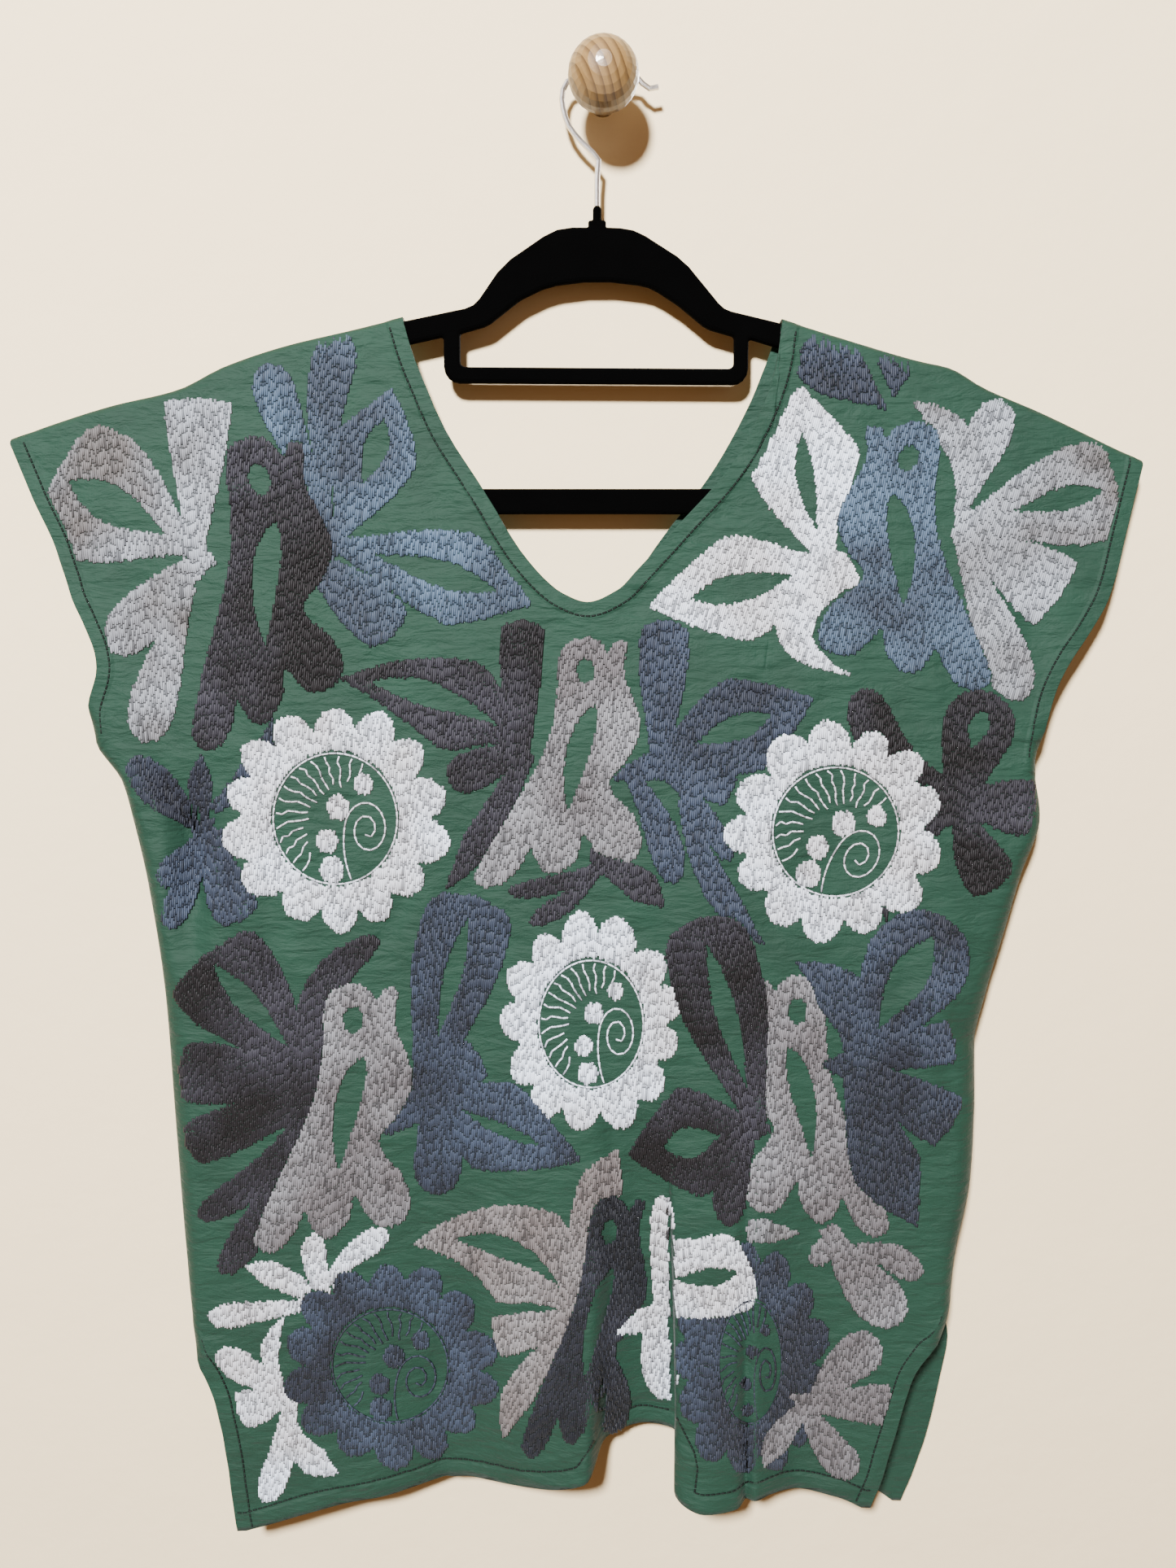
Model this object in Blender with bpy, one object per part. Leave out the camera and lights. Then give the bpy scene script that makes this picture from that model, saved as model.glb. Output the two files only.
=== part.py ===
"""Huipil blouse hung on a slim velvet hanger, with the hanger's hook over a wooden wall knob.

Metres, +Z up, +X to the right as seen from the front. The wall is the plane Y = 0 and everything lies in
front of it, at Y < 0. The origin is the centre of the knob's back face. Sizes are written in millimetres
and turned to metres by MM where a mesh is made.
"""

import math

import bmesh
import bpy
import numpy as np

MM = 0.001

# Depths from the wall, all negative because the wall is Y = 0.
HANGER_Y = -12.0
HANGER_THICK = 5.5
WALL = 1.2
SEAM_GAP = 0.3
HALF_WALL = WALL / 2
FOLD_ROUND = 3.7  # how far below the shoulder line the cloth has turned over the arm

# Heights where the side seams start under the arm and end at the slits.
UNDERARM_LEFT_Z = -330.0
UNDERARM_RIGHT_Z = -343.0
SLIT_LEFT_Z = -660.0
SLIT_RIGHT_Z = -650.0
SEAM_FADE = 20.0
MID_Z = -540.0  # the section where the large falls begin

# The shoulder fold, from each sleeve tip to the neck.
SHOULDER_LEFT = {
    "x": (-310.0, -292.0, -258.0, -222.0, -198.0, -166.0, -129.0, -104.0),
    "z": (-174.0, -167.5, -157.0, -148.5, -137.0, -126.5, -118.0, -112.0),
}
SHOULDER_RIGHT = {
    "x": (93.0, 133.0, 165.0, 181.0, 199.0, 229.0, 269.0, 283.0),
    "z": (-113.0, -125.0, -134.0, -137.5, -147.5, -160.0, -178.5, -185.0),
}
# The V neck's edge on the front, left edge down to the point and up the right edge.
NECK_FRONT = {
    "x": (-104.0, -99.0, -93.0, -84.0, -62.0, -43.0, -31.0, -21.0, -8.0, 8.0, 18.0, 40.0, 69.0, 86.0, 91.0, 93.0),
    "z": (-112, -130, -145, -166, -201, -232, -246, -254, -258.5, -252, -242, -218, -185, -151, -132, -113),
}
# The back's V is as wide at the shoulders, lies to the left on its right side, and is a little deeper.
NECK_BACK = {
    "x": (-104.0, -101.0, -97.0, -89.0, -67.0, -48.0, -36.0, -24.0, -12.0, 2.0, 12.0, 32.0, 58.0, 76.0, 86.0, 93.0),
    "z": (-112, -130, -145, -168, -205, -238, -254, -265, -270, -264, -252, -224, -190, -158, -134, -113),
}
# The outer edge of the front: cuff, underarm, side seam, slit and hem corner.
LEFT_EDGE = {
    "z": (-779, -774, -737, -698, -660, -611, -536, -472, -409, -372, -352, -330, -311, -291, -253, -225, -202, -174),
    "x": (-201, -204, -208, -214, -228, -232, -236, -239, -246, -253, -258, -271, -272, -267, -280, -289, -299, -310),
}
RIGHT_EDGE = {
    "z": (-765, -748, -726, -698, -682, -650, -620, -570, -536, -497, -466, -435, -403, -372, -343, -303, -254, -217, -185),
    "x": (149, 155, 161, 168, 173, 194, 197, 205, 206, 205, 211, 219, 227, 236, 232, 240, 267, 276, 283),
}
# Below the slit tops the back's edges part from the front's.
BACK_LEFT_SLIT = {"z": (-772, -737, -698, -660), "x": (-196, -203, -211, -228)}
BACK_RIGHT_SLIT = {"z": (-779, -741, -703, -675, -650), "x": (174, 187, 195, 199, 194)}

# How far in from the side seam the cloth has rounded to the front.
SIDE_ROUND = {"z": (-780, -700, -600, -480, -400, -330, -250, -174), "mm": (5, 6, 12, 15, 11, 7, 5, 4)}

# Depth of each layer where it hangs flat, from the shoulder to the hem.
FRONT_DEPTH = {"z": (-785, -650, -520, -400, -300, -215, -170, -112), "y": (-33, -33, -31, -28, -23, -17.6, -16.3, -15.9)}
BACK_DEPTH = {"z": (-785, -650, -520, -400, -300, -215, -170, -112), "y": (-5.5, -5.5, -5.6, -5.8, -6.2, -7.6, -7.9, -8.1)}

# Each fall of the front: where it leaves the top edge, where it is at MID_Z and at the hem, how deep the hem
# lies there, the hem's height, where the fall starts, and how many columns of faces follow it.
FRONT_FALLS = (
    # name            x_top  x_mid  x_hem   y_hem  z_hem   z_start  columns
    ("left edge",    -303.0, -222.0, -196.0, -34.0, -774.0, -330.0, 4),
    ("left waist",   -205.0, -168.0, -148.0, -31.0, -761.0, -400.0, 2),
    ("left breast",  -150.0, -135.0, -116.0, -26.0, -757.0, -400.0, 2),
    ("neck left",    -104.0, -104.0,  -93.0, -18.5, -753.0, -420.0, 1),
    ("over the arm", -103.9, -101.5,  -90.5, -18.0, -752.5, -420.0, 1),
    ("arm's corner", -103.5,  -99.0,  -88.0, -18.0, -752.0, -420.0, 1),
    ("arm's front",  -102.7,  -96.0,  -85.0, -18.5, -752.0, -420.0, 1),
    ("neck edge",     -95.0,  -88.0,  -76.0, -20.0, -751.0, -420.0, 2),
    ("left rise",     -56.0,  -54.0,  -42.0, -33.0, -749.0, -420.0, 3),
    ("centre crest",  -14.0,   -6.0,  -10.0, -42.0, -741.0, -480.0, 2),
    ("valley left",    -5.0,    7.0,    2.0, -21.0, -727.0, -510.0, 2),
    ("valley floor",    2.0,   20.0,   24.0, -12.5, -723.5, -500.0, 2),
    ("valley right",    9.0,   34.0,   43.0, -15.0, -727.0, -530.0, 2),
    ("fold edge",      15.0,   38.0,   41.0, -38.0, -748.0, -540.0, 2),
    ("right crest",    30.0,   50.0,   56.0, -46.0, -755.0, -500.0, 2),
    ("right rise",     70.0,   70.0,   74.0, -42.5, -755.0, -430.0, 1),
    ("neck edge",      88.0,   79.0,   80.0, -35.0, -754.0, -430.0, 1),
    ("arm's front",    92.6,   84.0,   85.0, -38.0, -753.5, -430.0, 1),
    ("arm's corner",   92.85,  87.0,   88.0, -37.0, -753.0, -430.0, 1),
    ("over the arm",   92.95,  90.0,   91.0, -35.5, -752.5, -430.0, 1),
    ("neck right",     93.0,   93.0,   94.0, -34.0, -752.0, -430.0, 2),
    ("right breast",  140.0,  120.0,  110.0, -28.0, -752.5, -420.0, 3),
    ("right waist",   195.0,  155.0,  130.0, -31.0, -755.0, -400.0, 3),
    ("right edge",    278.0,  194.0,  145.0, -33.0, -761.0, -330.0, 0),
)
BACK_FALLS = (
    # name            x_top  x_mid  x_hem   y_hem  z_hem   z_start  columns
    ("left edge",    -303.0, -222.0, -192.0,  -7.0, -768.0, -330.0, 4),
    ("left waist",   -205.0, -168.0, -150.0,  -3.2, -756.0, -360.0, 3),
    ("neck left",    -104.0, -110.0, -102.0,  -8.5, -742.0, -380.0, 1),
    ("over the arm", -103.9, -107.0,  -99.0,  -8.4, -741.0, -380.0, 1),
    ("arm's corner", -103.7, -104.0,  -96.0,  -8.2, -740.0, -380.0, 1),
    ("arm's back",   -103.2, -101.0,  -93.0,  -8.0, -739.0, -380.0, 1),
    ("neck edge",     -96.0,  -94.0,  -86.0,  -7.0, -737.0, -380.0, 2),
    ("left fall",     -48.0,  -56.0,  -52.0,  -3.5, -728.0, -420.0, 3),
    ("centre",        -12.0,  -10.0,   -8.0,  -7.0, -714.0, -440.0, 3),
    ("under valley",   20.0,   26.0,   30.0,  -3.0, -711.0, -480.0, 2),
    ("right fall",     56.0,   64.0,   70.0,  -8.5, -722.0, -420.0, 2),
    ("neck edge",      84.0,   84.0,   92.0,  -6.0, -732.0, -400.0, 1),
    ("arm's back",     91.7,   90.0,   98.0,  -5.0, -735.0, -400.0, 1),
    ("arm's corner",   92.4,   93.0,  101.0,  -4.5, -736.5, -400.0, 1),
    ("over the arm",   92.85,  96.0,  104.0,  -4.2, -738.0, -400.0, 1),
    ("neck right",     93.0,   99.0,  107.0,  -4.0, -739.0, -400.0, 4),
    ("right waist",   195.0,  152.0,  145.0,  -8.0, -758.0, -360.0, 3),
    ("right edge",    278.0,  194.0,  174.0,  -5.0, -777.0, -330.0, 0),
)
# Soft troughs (positive, towards the wall) and ridges (negative) besides the falls.
FRONT_CREASES = (
    # x_from  z_from  x_to   z_to   half_width  depth
    (-214.0, -340.0, -222.0, -455.0, 17.0, 6.0),
    (-176.0, -250.0, -150.0, -470.0, 30.0, -3.0),
    (-60.0, -300.0, -75.0, -520.0, 34.0, 3.0),
    (120.0, -280.0, 128.0, -500.0, 32.0, 3.0),
    (186.0, -400.0, 168.0, -560.0, 20.0, -4.5),
    (60.0, -330.0, 52.0, -500.0, 26.0, -2.5),
    (-255.0, -200.0, -240.0, -320.0, 18.0, 2.5),
    (240.0, -215.0, 215.0, -330.0, 18.0, 2.5),
)
BACK_CREASES = (
    # x_from  z_from  x_to   z_to   half_width  depth
    (-200.0, -350.0, -205.0, -520.0, 20.0, -2.2),
    (-20.0, -320.0, -30.0, -560.0, 30.0, 1.6),
    (150.0, -330.0, 140.0, -560.0, 26.0, -2.0),
)
EDGE_SHARE = 0.15  # the share of the columns that bends to follow the cut side edge
ROWS_BELOW_TURN = 25
TURN_STEPS = (0.0, 0.14, 0.5, 1.0)  # how far in the columns and rows lie on a rounded fold

# The hanger's outline corners: x, z and the radius each is rounded to.
STEM_X = -3.0
COLLAR_TOP_Z = -56.0
COLLAR_HALF = 2.2
BOSS_HALF = 4.6
BOSS_TOP_Z = -63.0
ARCH_TOP_Z = -66.5
BAR_TOP_Z = -199.0
BAR_BOTTOM_Z = -212.0
ARM_HIGH = 12.0
ARM_BELOW_FOLD = 1.5
ARM_END_LEFT_X = -214.5
ARM_END_RIGHT_X = 206.5
TIE_OUT_LEFT_X = -83.0
TIE_IN_LEFT_X = -74.5
TIE_IN_RIGHT_X = 68.5
TIE_OUT_RIGHT_X = 76.0
TIE_TOP_Z = -136.5
TIE_BOTTOM_Z = -144.5
HANGER_EDGE_ROUND = 1.6
ARC_STEP = math.radians(24)

# The wall knob and the wire hook.
BALL_RADIUS = 17.75
BALL_Y = -32.0
NECK_RADIUS = 7.0
WIRE_RADIUS = 1.45
HOOK_ROUTE = (
    (-3.0, -55.7), (-3.0, -48.0), (-2.9, -40.0), (-2.4, -32.5), (-6.0, -28.6), (-12.0, -23.0), (-16.8, -17.2),
    (-19.3, -12.0), (-20.9, -5.0), (-20.8, 0.2), (-18.6, 5.2), (-13.0, 8.2), (-4.0, 8.9), (6.0, 8.9), (14.0, 8.7),
    (18.4, 7.2), (20.2, 4.6), (22.4, 2.5), (25.6, 2.0), (28.3, 2.9),
)  # fmt: skip
HOOK_STEP = 4.5


def smooth(xs, ys, at):
    """A monotone cubic through the table's points, read at each value of at."""
    xs = np.asarray(xs, float)
    ys = np.asarray(ys, float)
    at = np.clip(np.asarray(at, float), xs[0], xs[-1])
    width = np.diff(xs)
    slope = np.diff(ys) / width
    tangent = np.zeros(len(xs))
    tangent[0], tangent[-1] = slope[0], slope[-1]
    same_way = slope[:-1] * slope[1:] > 0
    harmonic = 2 * slope[:-1] * slope[1:] / np.where(same_way, slope[:-1] + slope[1:], 1.0)
    tangent[1:-1] = np.where(same_way, harmonic, 0.0)
    index = np.clip(np.searchsorted(xs, at, side="right") - 1, 0, len(xs) - 2)
    h = width[index]
    t = (at - xs[index]) / h
    return (
        ys[index] * (1 + 2 * t) * (1 - t) ** 2
        + tangent[index] * h * t * (1 - t) ** 2
        + ys[index + 1] * t**2 * (3 - 2 * t)
        + tangent[index + 1] * h * t**2 * (t - 1)
    )


def top_line(neck):
    """The top edge as one function of x: shoulder, neck, shoulder."""

    def height(x):
        x = np.asarray(x, float)
        left = smooth(SHOULDER_LEFT["x"], SHOULDER_LEFT["z"], x)
        right = smooth(SHOULDER_RIGHT["x"], SHOULDER_RIGHT["z"], x)
        middle = smooth(neck["x"], neck["z"], x)
        return np.where(x <= neck["x"][0], left, np.where(x >= neck["x"][-1], right, middle))

    return height


def edge_with_slit(edge, slit):
    """The side edge's table with its slit stretch taken from another layer's."""
    above = [(z, x) for z, x in zip(edge["z"], edge["x"]) if z > slit["z"][-1]]
    rows = list(zip(slit["z"], slit["x"])) + above
    return {"z": tuple(z for z, _ in rows), "x": tuple(x for _, x in rows)}


def raised_cosine(s):
    return np.where(np.abs(s) < 1, 0.5 + 0.5 * np.cos(np.pi * np.clip(s, -1, 1)), 0.0)


def crease_depth(x, z, creases):
    """How far the soft troughs and ridges move the cloth, at each point."""
    total = np.zeros_like(x)
    for x0, z0, x1, z1, half_width, depth in creases:
        length = math.hypot(x1 - x0, z1 - z0)
        along_x, along_z = (x1 - x0) / length, (z1 - z0) / length
        along = ((x - x0) * along_x + (z - z0) * along_z) / length
        across = (x - x0) * along_z - (z - z0) * along_x
        total += depth * raised_cosine(across / half_width) * raised_cosine(2 * along - 1)
    return total


def turn(distance, reach):
    """1 on a fold's or seam's line and 0 where the cloth has rounded to its face, as a quarter circle."""
    s = np.clip(distance / reach, 0, 1)
    return 1 - np.sqrt(np.clip(1 - (1 - s) ** 2, 0, 1))


def seam_share(z, top, bottom):
    """1 along the side seam and 0 on the open cuff and slit."""
    above = np.clip((z - top) / SEAM_FADE, 0, 1)
    below = np.clip((bottom - z) / SEAM_FADE, 0, 1)
    share = (1 - above) * (1 - below)
    return share * share * (3 - 2 * share)


def columns_of(falls):
    """The falls' values on every column, smooth from fall to fall."""
    starts = np.concatenate([[0], np.cumsum([row[7] for row in falls])])[: len(falls)]
    at = np.arange(starts[-1] + 1)
    return [smooth(starts, [row[k] for row in falls], at) for k in range(1, 7)]


def middle_surface(falls, creases, neck, left_edge, right_edge, depth, seam_side):
    """The points halfway through one layer of cloth, as arrays of rows by columns."""
    x_top, x_mid, x_hem, y_hem, z_hem, z_start = columns_of(falls)
    z_top = top_line(neck)(x_top)
    on_shoulder = (x_top <= neck["x"][0]) | (x_top >= neck["x"][-1])
    corner_z = np.where(x_top < 0, neck["z"][0], neck["z"][-1])
    clear_of_arm = np.where(on_shoulder, 0.0, np.clip((corner_z - z_top) / 16, 0, 1))

    turned = np.outer(TURN_STEPS, FOLD_ROUND + 9 * clear_of_arm)
    fractions = np.linspace(0, 1, ROWS_BELOW_TURN + 1)[1:, None]
    start = z_top - turned[-1]
    z = np.concatenate([z_top - turned, start + (z_hem - start) * fractions])

    # A parabola in height through the three sections gives each column's line.
    a, b, c = z_top, MID_Z, z_hem
    x = (
        x_top * (z - b) * (z - c) / ((a - b) * (a - c))
        + x_mid * (z - a) * (z - c) / ((b - a) * (b - c))
        + x_hem * (z - a) * (z - b) / ((c - a) * (c - b))
    )
    # The outer columns follow the cut edge, and the correction fades inwards.
    share = np.linspace(0, 1, x.shape[1])
    to_left = np.clip(1 - share / EDGE_SHARE, 0, 1) ** 2
    to_right = np.clip(1 - (1 - share) / EDGE_SHARE, 0, 1) ** 2
    round_left = smooth(SIDE_ROUND["z"], SIDE_ROUND["mm"], z[:, :1])
    round_right = smooth(SIDE_ROUND["z"], SIDE_ROUND["mm"], z[:, -1:])
    edge_left = smooth(left_edge["z"], left_edge["x"], z[:, :1])
    edge_right = smooth(right_edge["z"], right_edge["x"], z[:, -1:])
    x = x + to_left * (edge_left + round_left - x[:, :1]) + to_right * (edge_right - round_right - x[:, -1:])

    # Three more columns at each side round the cloth back to its seam.
    steps = np.array(TURN_STEPS[:-1])
    x = np.concatenate([edge_left + round_left * steps, x, edge_right - round_right * steps[::-1]], axis=1)
    z = np.concatenate([np.repeat(z[:, :1], 3, 1), z, np.repeat(z[:, -1:], 3, 1)], axis=1)

    # The top row lies on the top line wherever the columns have moved to.
    z = z + (top_line(neck)(x[0]) - z[0]) * (z - z[-1]) / (z[0] - z[-1])

    def widen(values):
        return np.concatenate([np.repeat(values[:1], 3), values, np.repeat(values[-1:], 3)])

    z_start, z_hem, y_hem = widen(z_start), widen(z_hem), widen(y_hem)
    fold_z = np.where(widen(on_shoulder), z[0], widen(corner_z))
    flat = smooth(depth["z"], depth["y"], z)
    grown = np.clip((z_start - z) / (z_start - z_hem), 0, 1) ** 1.2
    y = flat + (y_hem - depth["y"][0]) * grown + crease_depth(x, z, creases)

    seam = np.maximum(
        turn(x - edge_left, round_left) * seam_share(z, UNDERARM_LEFT_Z, SLIT_LEFT_Z),
        turn(edge_right - x, round_right) * seam_share(z, UNDERARM_RIGHT_Z, SLIT_RIGHT_Z),
    )
    over_arm = turn(fold_z - z, FOLD_ROUND)
    joined = 1 - (1 - seam) * (1 - over_arm)
    seam_y = HANGER_Y + seam_side * SEAM_GAP / 2
    y = y + joined * (seam_y - y)
    return x, y, z, joined > 0.999


def wall_mesh(name, x, y, z, on_seam):
    """A closed wall of even thickness about the middle surface."""
    points = np.stack([x, y, z], axis=-1)
    along = np.gradient(points, axis=1)
    down = np.gradient(points, axis=0)
    normal = np.cross(along, down)
    normal[..., 1] = np.where(on_seam, 0.0, normal[..., 1])
    normal /= np.linalg.norm(normal, axis=-1, keepdims=True)
    sides = [points + HALF_WALL * normal, points - HALF_WALL * normal]
    rows, columns = x.shape
    mesh = bmesh.new()
    grids = [[[mesh.verts.new(p * MM) for p in row] for row in side] for side in sides]
    for k, grid in enumerate(grids):
        for r in range(rows - 1):
            for c in range(columns - 1):
                ring = [grid[r][c], grid[r + 1][c], grid[r + 1][c + 1], grid[r][c + 1]]
                mesh.faces.new(ring if k == 0 else ring[::-1])
    border = [(0, c) for c in range(columns)]
    border += [(r, columns - 1) for r in range(1, rows)]
    border += [(rows - 1, c) for c in range(columns - 2, -1, -1)]
    border += [(r, 0) for r in range(rows - 2, 0, -1)]
    for (r0, c0), (r1, c1) in zip(border, border[1:] + border[:1]):
        mesh.faces.new([grids[0][r0][c0], grids[0][r1][c1], grids[1][r1][c1], grids[1][r0][c0]])
    bmesh.ops.recalc_face_normals(mesh, faces=mesh.faces)
    data = bpy.data.meshes.new(name)
    mesh.to_mesh(data)
    mesh.free()
    data.shade_smooth()
    return place(name, data)


def place(name, data):
    thing = bpy.data.objects.new(name, data)
    bpy.context.scene.collection.objects.link(thing)
    return thing


def finish_with(thing, colour, roughness, metallic=0.0):
    """Gives the object a material of its own."""
    material = bpy.data.materials.new(thing.name)
    material.use_nodes = True
    shader = material.node_tree.nodes["Principled BSDF"]
    shader.inputs["Base Color"].default_value = (*colour, 1.0)
    shader.inputs["Roughness"].default_value = roughness
    shader.inputs["Metallic"].default_value = metallic
    material.diffuse_color = (*colour, 1.0)
    thing.data.materials.append(material)


def rounded(corners):
    """A closed outline through the corners, each rounded by an arc of its own radius."""
    outline = []
    count = len(corners)
    for k, (x, z, radius) in enumerate(corners):
        here = np.array([x, z])
        before = np.array(corners[k - 1][:2]) - here
        after = np.array(corners[(k + 1) % count][:2]) - here
        long_before, long_after = np.linalg.norm(before), np.linalg.norm(after)
        before, after = before / long_before, after / long_after
        opening = math.acos(np.clip(before @ after, -1, 1))
        reach = radius / math.tan(opening / 2)
        most = 0.49 * min(long_before, long_after)
        radius *= min(1, most / reach) if reach > 0 else 1
        reach = min(reach, most)
        middle = before + after
        middle /= np.linalg.norm(middle)
        centre = here + middle * math.hypot(radius, reach)
        first = here + before * reach - centre
        sweep = math.pi - opening
        side = math.copysign(1, before[0] * after[1] - before[1] * after[0])
        steps = max(1, math.ceil(sweep / ARC_STEP))
        for step in range(steps + 1):
            angle = -side * sweep * step / steps
            cos, sin = math.cos(angle), math.sin(angle)
            outline.append(centre + np.array([first[0] * cos - first[1] * sin, first[0] * sin + first[1] * cos]))
    return outline


def hanger_outlines():
    """The outer line, the slot over the tie bar, and the gap over the lower bar."""
    below = np.array([2.2, 1.3, 1.0]) * ARM_BELOW_FOLD
    arm_left = smooth(SHOULDER_LEFT["x"], SHOULDER_LEFT["z"], (-186.0, -150.0, -104.0)) - below
    arm_right = smooth(SHOULDER_RIGHT["x"], SHOULDER_RIGHT["z"], (93.0, 140.0, 176.0)) - below[::-1]
    outer = [
        (STEM_X - COLLAR_HALF, COLLAR_TOP_Z, 1.8),
        (STEM_X - COLLAR_HALF, BOSS_TOP_Z, 0.8),
        (STEM_X - BOSS_HALF, BOSS_TOP_Z, 1.75),
        (STEM_X - BOSS_HALF, ARCH_TOP_Z, 0.8),
        (-24.0, ARCH_TOP_Z, 32.0),
        (-52.0, -85.0, 26.0),
        (-67.0, -106.0, 12.0),
        (-104.0, arm_left[2], 60.0),
        (-150.0, arm_left[1], 80.0),
        (-186.0, arm_left[0], 40.0),
        (ARM_END_LEFT_X + 5, -149.5, 12.0),
        (ARM_END_LEFT_X, -168.0, 24.0),
        (ARM_END_LEFT_X + 6, BAR_BOTTOM_Z, 20.0),
        (ARM_END_RIGHT_X - 6, BAR_BOTTOM_Z, 20.0),
        (ARM_END_RIGHT_X, -168.0, 24.0),
        (ARM_END_RIGHT_X - 6, -157.0, 10.0),
        (176.0, arm_right[2], 40.0),
        (140.0, arm_right[1], 80.0),
        (93.0, arm_right[0], 60.0),
        (63.0, -107.5, 12.0),
        (42.0, -83.0, 26.0),
        (16.0, ARCH_TOP_Z - 0.5, 32.0),
        (STEM_X + BOSS_HALF, ARCH_TOP_Z, 0.8),
        (STEM_X + BOSS_HALF, BOSS_TOP_Z, 1.75),
        (STEM_X + COLLAR_HALF, BOSS_TOP_Z, 0.8),
        (STEM_X + COLLAR_HALF, COLLAR_TOP_Z, 1.8),
    ]
    slot = [
        (TIE_IN_LEFT_X, -119.5, 2.0),
        (-60.0, -115.5, 10.0),
        (-43.0, -102.5, 14.0),
        (-28.0, -95.5, 24.0),
        (STEM_X, -92.5, 60.0),
        (24.0, -95.5, 24.0),
        (39.0, -105.0, 14.0),
        (54.0, -117.0, 10.0),
        (TIE_IN_RIGHT_X, -121.0, 2.0),
        (TIE_IN_RIGHT_X, TIE_TOP_Z - 1, 3.0),
        (TIE_IN_LEFT_X, TIE_TOP_Z, 3.0),
    ]
    gap = [
        (TIE_OUT_LEFT_X, -121.0, 1.5),
        (-104.0, arm_left[2] - ARM_HIGH, 40.0),
        (-150.0, arm_left[1] - ARM_HIGH, 60.0),
        (-186.0, arm_left[0] - ARM_HIGH, 20.0),
        (ARM_END_LEFT_X + 12, -163.0, 12.0),
        (ARM_END_LEFT_X + 14, BAR_TOP_Z, 12.0),
        (ARM_END_RIGHT_X - 14, BAR_TOP_Z, 12.0),
        (ARM_END_RIGHT_X - 12, -168.0, 12.0),
        (178.0, arm_right[2] - ARM_HIGH, 20.0),
        (140.0, arm_right[1] - ARM_HIGH, 60.0),
        (93.0, arm_right[0] - ARM_HIGH - 0.5, 40.0),
        (TIE_OUT_RIGHT_X, -122.0, 1.5),
        (TIE_OUT_RIGHT_X, TIE_BOTTOM_Z - 1, 8.0),
        (TIE_OUT_LEFT_X, TIE_BOTTOM_Z, 8.0),
    ]
    return [rounded(outer), rounded(slot), rounded(gap)]


def inset(outline, distance, inward):
    """The outline moved into the material by a distance."""
    points = np.array(outline)
    before = points - np.roll(points, 1, axis=0)
    after = np.roll(points, -1, axis=0) - points
    before /= np.linalg.norm(before, axis=1, keepdims=True)
    after /= np.linalg.norm(after, axis=1, keepdims=True)
    across = np.stack([-(before + after)[:, 1], (before + after)[:, 0]], axis=1)
    across /= 0.5 * np.sum((before + after) ** 2, axis=1, keepdims=True)
    return points + inward * distance * across


def is_clockwise(outline):
    points = np.array(outline)
    following = np.roll(points, -1, axis=0)
    return np.sum(points[:, 0] * following[:, 1] - points[:, 1] * following[:, 0]) < 0


def hanger_frame():
    """Arch, arms, tie bar and lower bar in one flat piece with rounded edges."""
    half, edge = HANGER_THICK / 2, HANGER_EDGE_ROUND
    quarter = [(edge * (1 - math.sin(a)), half - edge * (1 - math.cos(a))) for a in np.radians((0, 45, 90))]
    levels = quarter + [(distance, -depth) for distance, depth in reversed(quarter)]
    mesh = bmesh.new()
    caps = [[], []]
    for k, outline in enumerate(hanger_outlines()):
        inward = (-1 if is_clockwise(outline) else 1) * (1 if k == 0 else -1)
        rings = []
        for distance, depth in levels:
            line = inset(outline, distance, inward)
            rings.append([mesh.verts.new((x * MM, (HANGER_Y - depth) * MM, z * MM)) for x, z in line])
        for upper, lower in zip(rings, rings[1:]):
            for n in range(len(upper)):
                mesh.faces.new([upper[n - 1], upper[n], lower[n], lower[n - 1]])
        for cap, ring in zip(caps, (rings[0], rings[-1])):
            cap += [mesh.edges.get((ring[n - 1], ring[n])) for n in range(len(ring))]
    for cap in caps:
        bmesh.ops.triangle_fill(mesh, use_beauty=True, use_dissolve=False, edges=cap)
    bmesh.ops.recalc_face_normals(mesh, faces=mesh.faces)
    data = bpy.data.meshes.new("hanger_frame")
    mesh.to_mesh(data)
    mesh.free()
    data.shade_smooth()
    data.set_sharp_from_angle(angle=math.radians(50))
    finish_with(place("hanger_frame", data), (0.012, 0.012, 0.013), 0.95)


def along_route(route, step):
    """Even points on a Catmull-Rom curve through the route."""
    route = np.array([(2 * route[0][0] - route[1][0], 2 * route[0][1] - route[1][1]), *route])
    route = np.vstack([route, 2 * route[-1] - route[-2]])
    fine = []
    for a, b, c, d in zip(route, route[1:], route[2:], route[3:]):
        for t in np.linspace(0, 1, 12, endpoint=False):
            fine.append(0.5 * (2 * b + (c - a) * t + (2 * a - 5 * b + 4 * c - d) * t**2 + (3 * b - a - 3 * c + d) * t**3))
    fine = np.array(fine + [route[-2]])
    length = np.concatenate([[0], np.cumsum(np.linalg.norm(np.diff(fine, axis=0), axis=1))])
    even = np.linspace(0, length[-1], round(length[-1] / step) + 1)
    return np.stack([np.interp(even, length, fine[:, k]) for k in range(2)], axis=1)


def hanger_hook():
    """Chrome wire from the collar round over the knob's neck to its open end."""
    curve = bpy.data.curves.new("hanger_hook", "CURVE")
    curve.dimensions = "3D"
    curve.bevel_depth = WIRE_RADIUS * MM
    curve.bevel_resolution = 2
    curve.use_fill_caps = True
    points = along_route(HOOK_ROUTE, HOOK_STEP)
    spline = curve.splines.new("POLY")
    spline.points.add(len(points) - 1)
    for point, (x, z) in zip(spline.points, points):
        point.co = (x * MM, HANGER_Y * MM, z * MM, 1)
    finish_with(place("hanger_hook", curve), (0.75, 0.74, 0.72), 0.15, 1.0)


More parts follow.
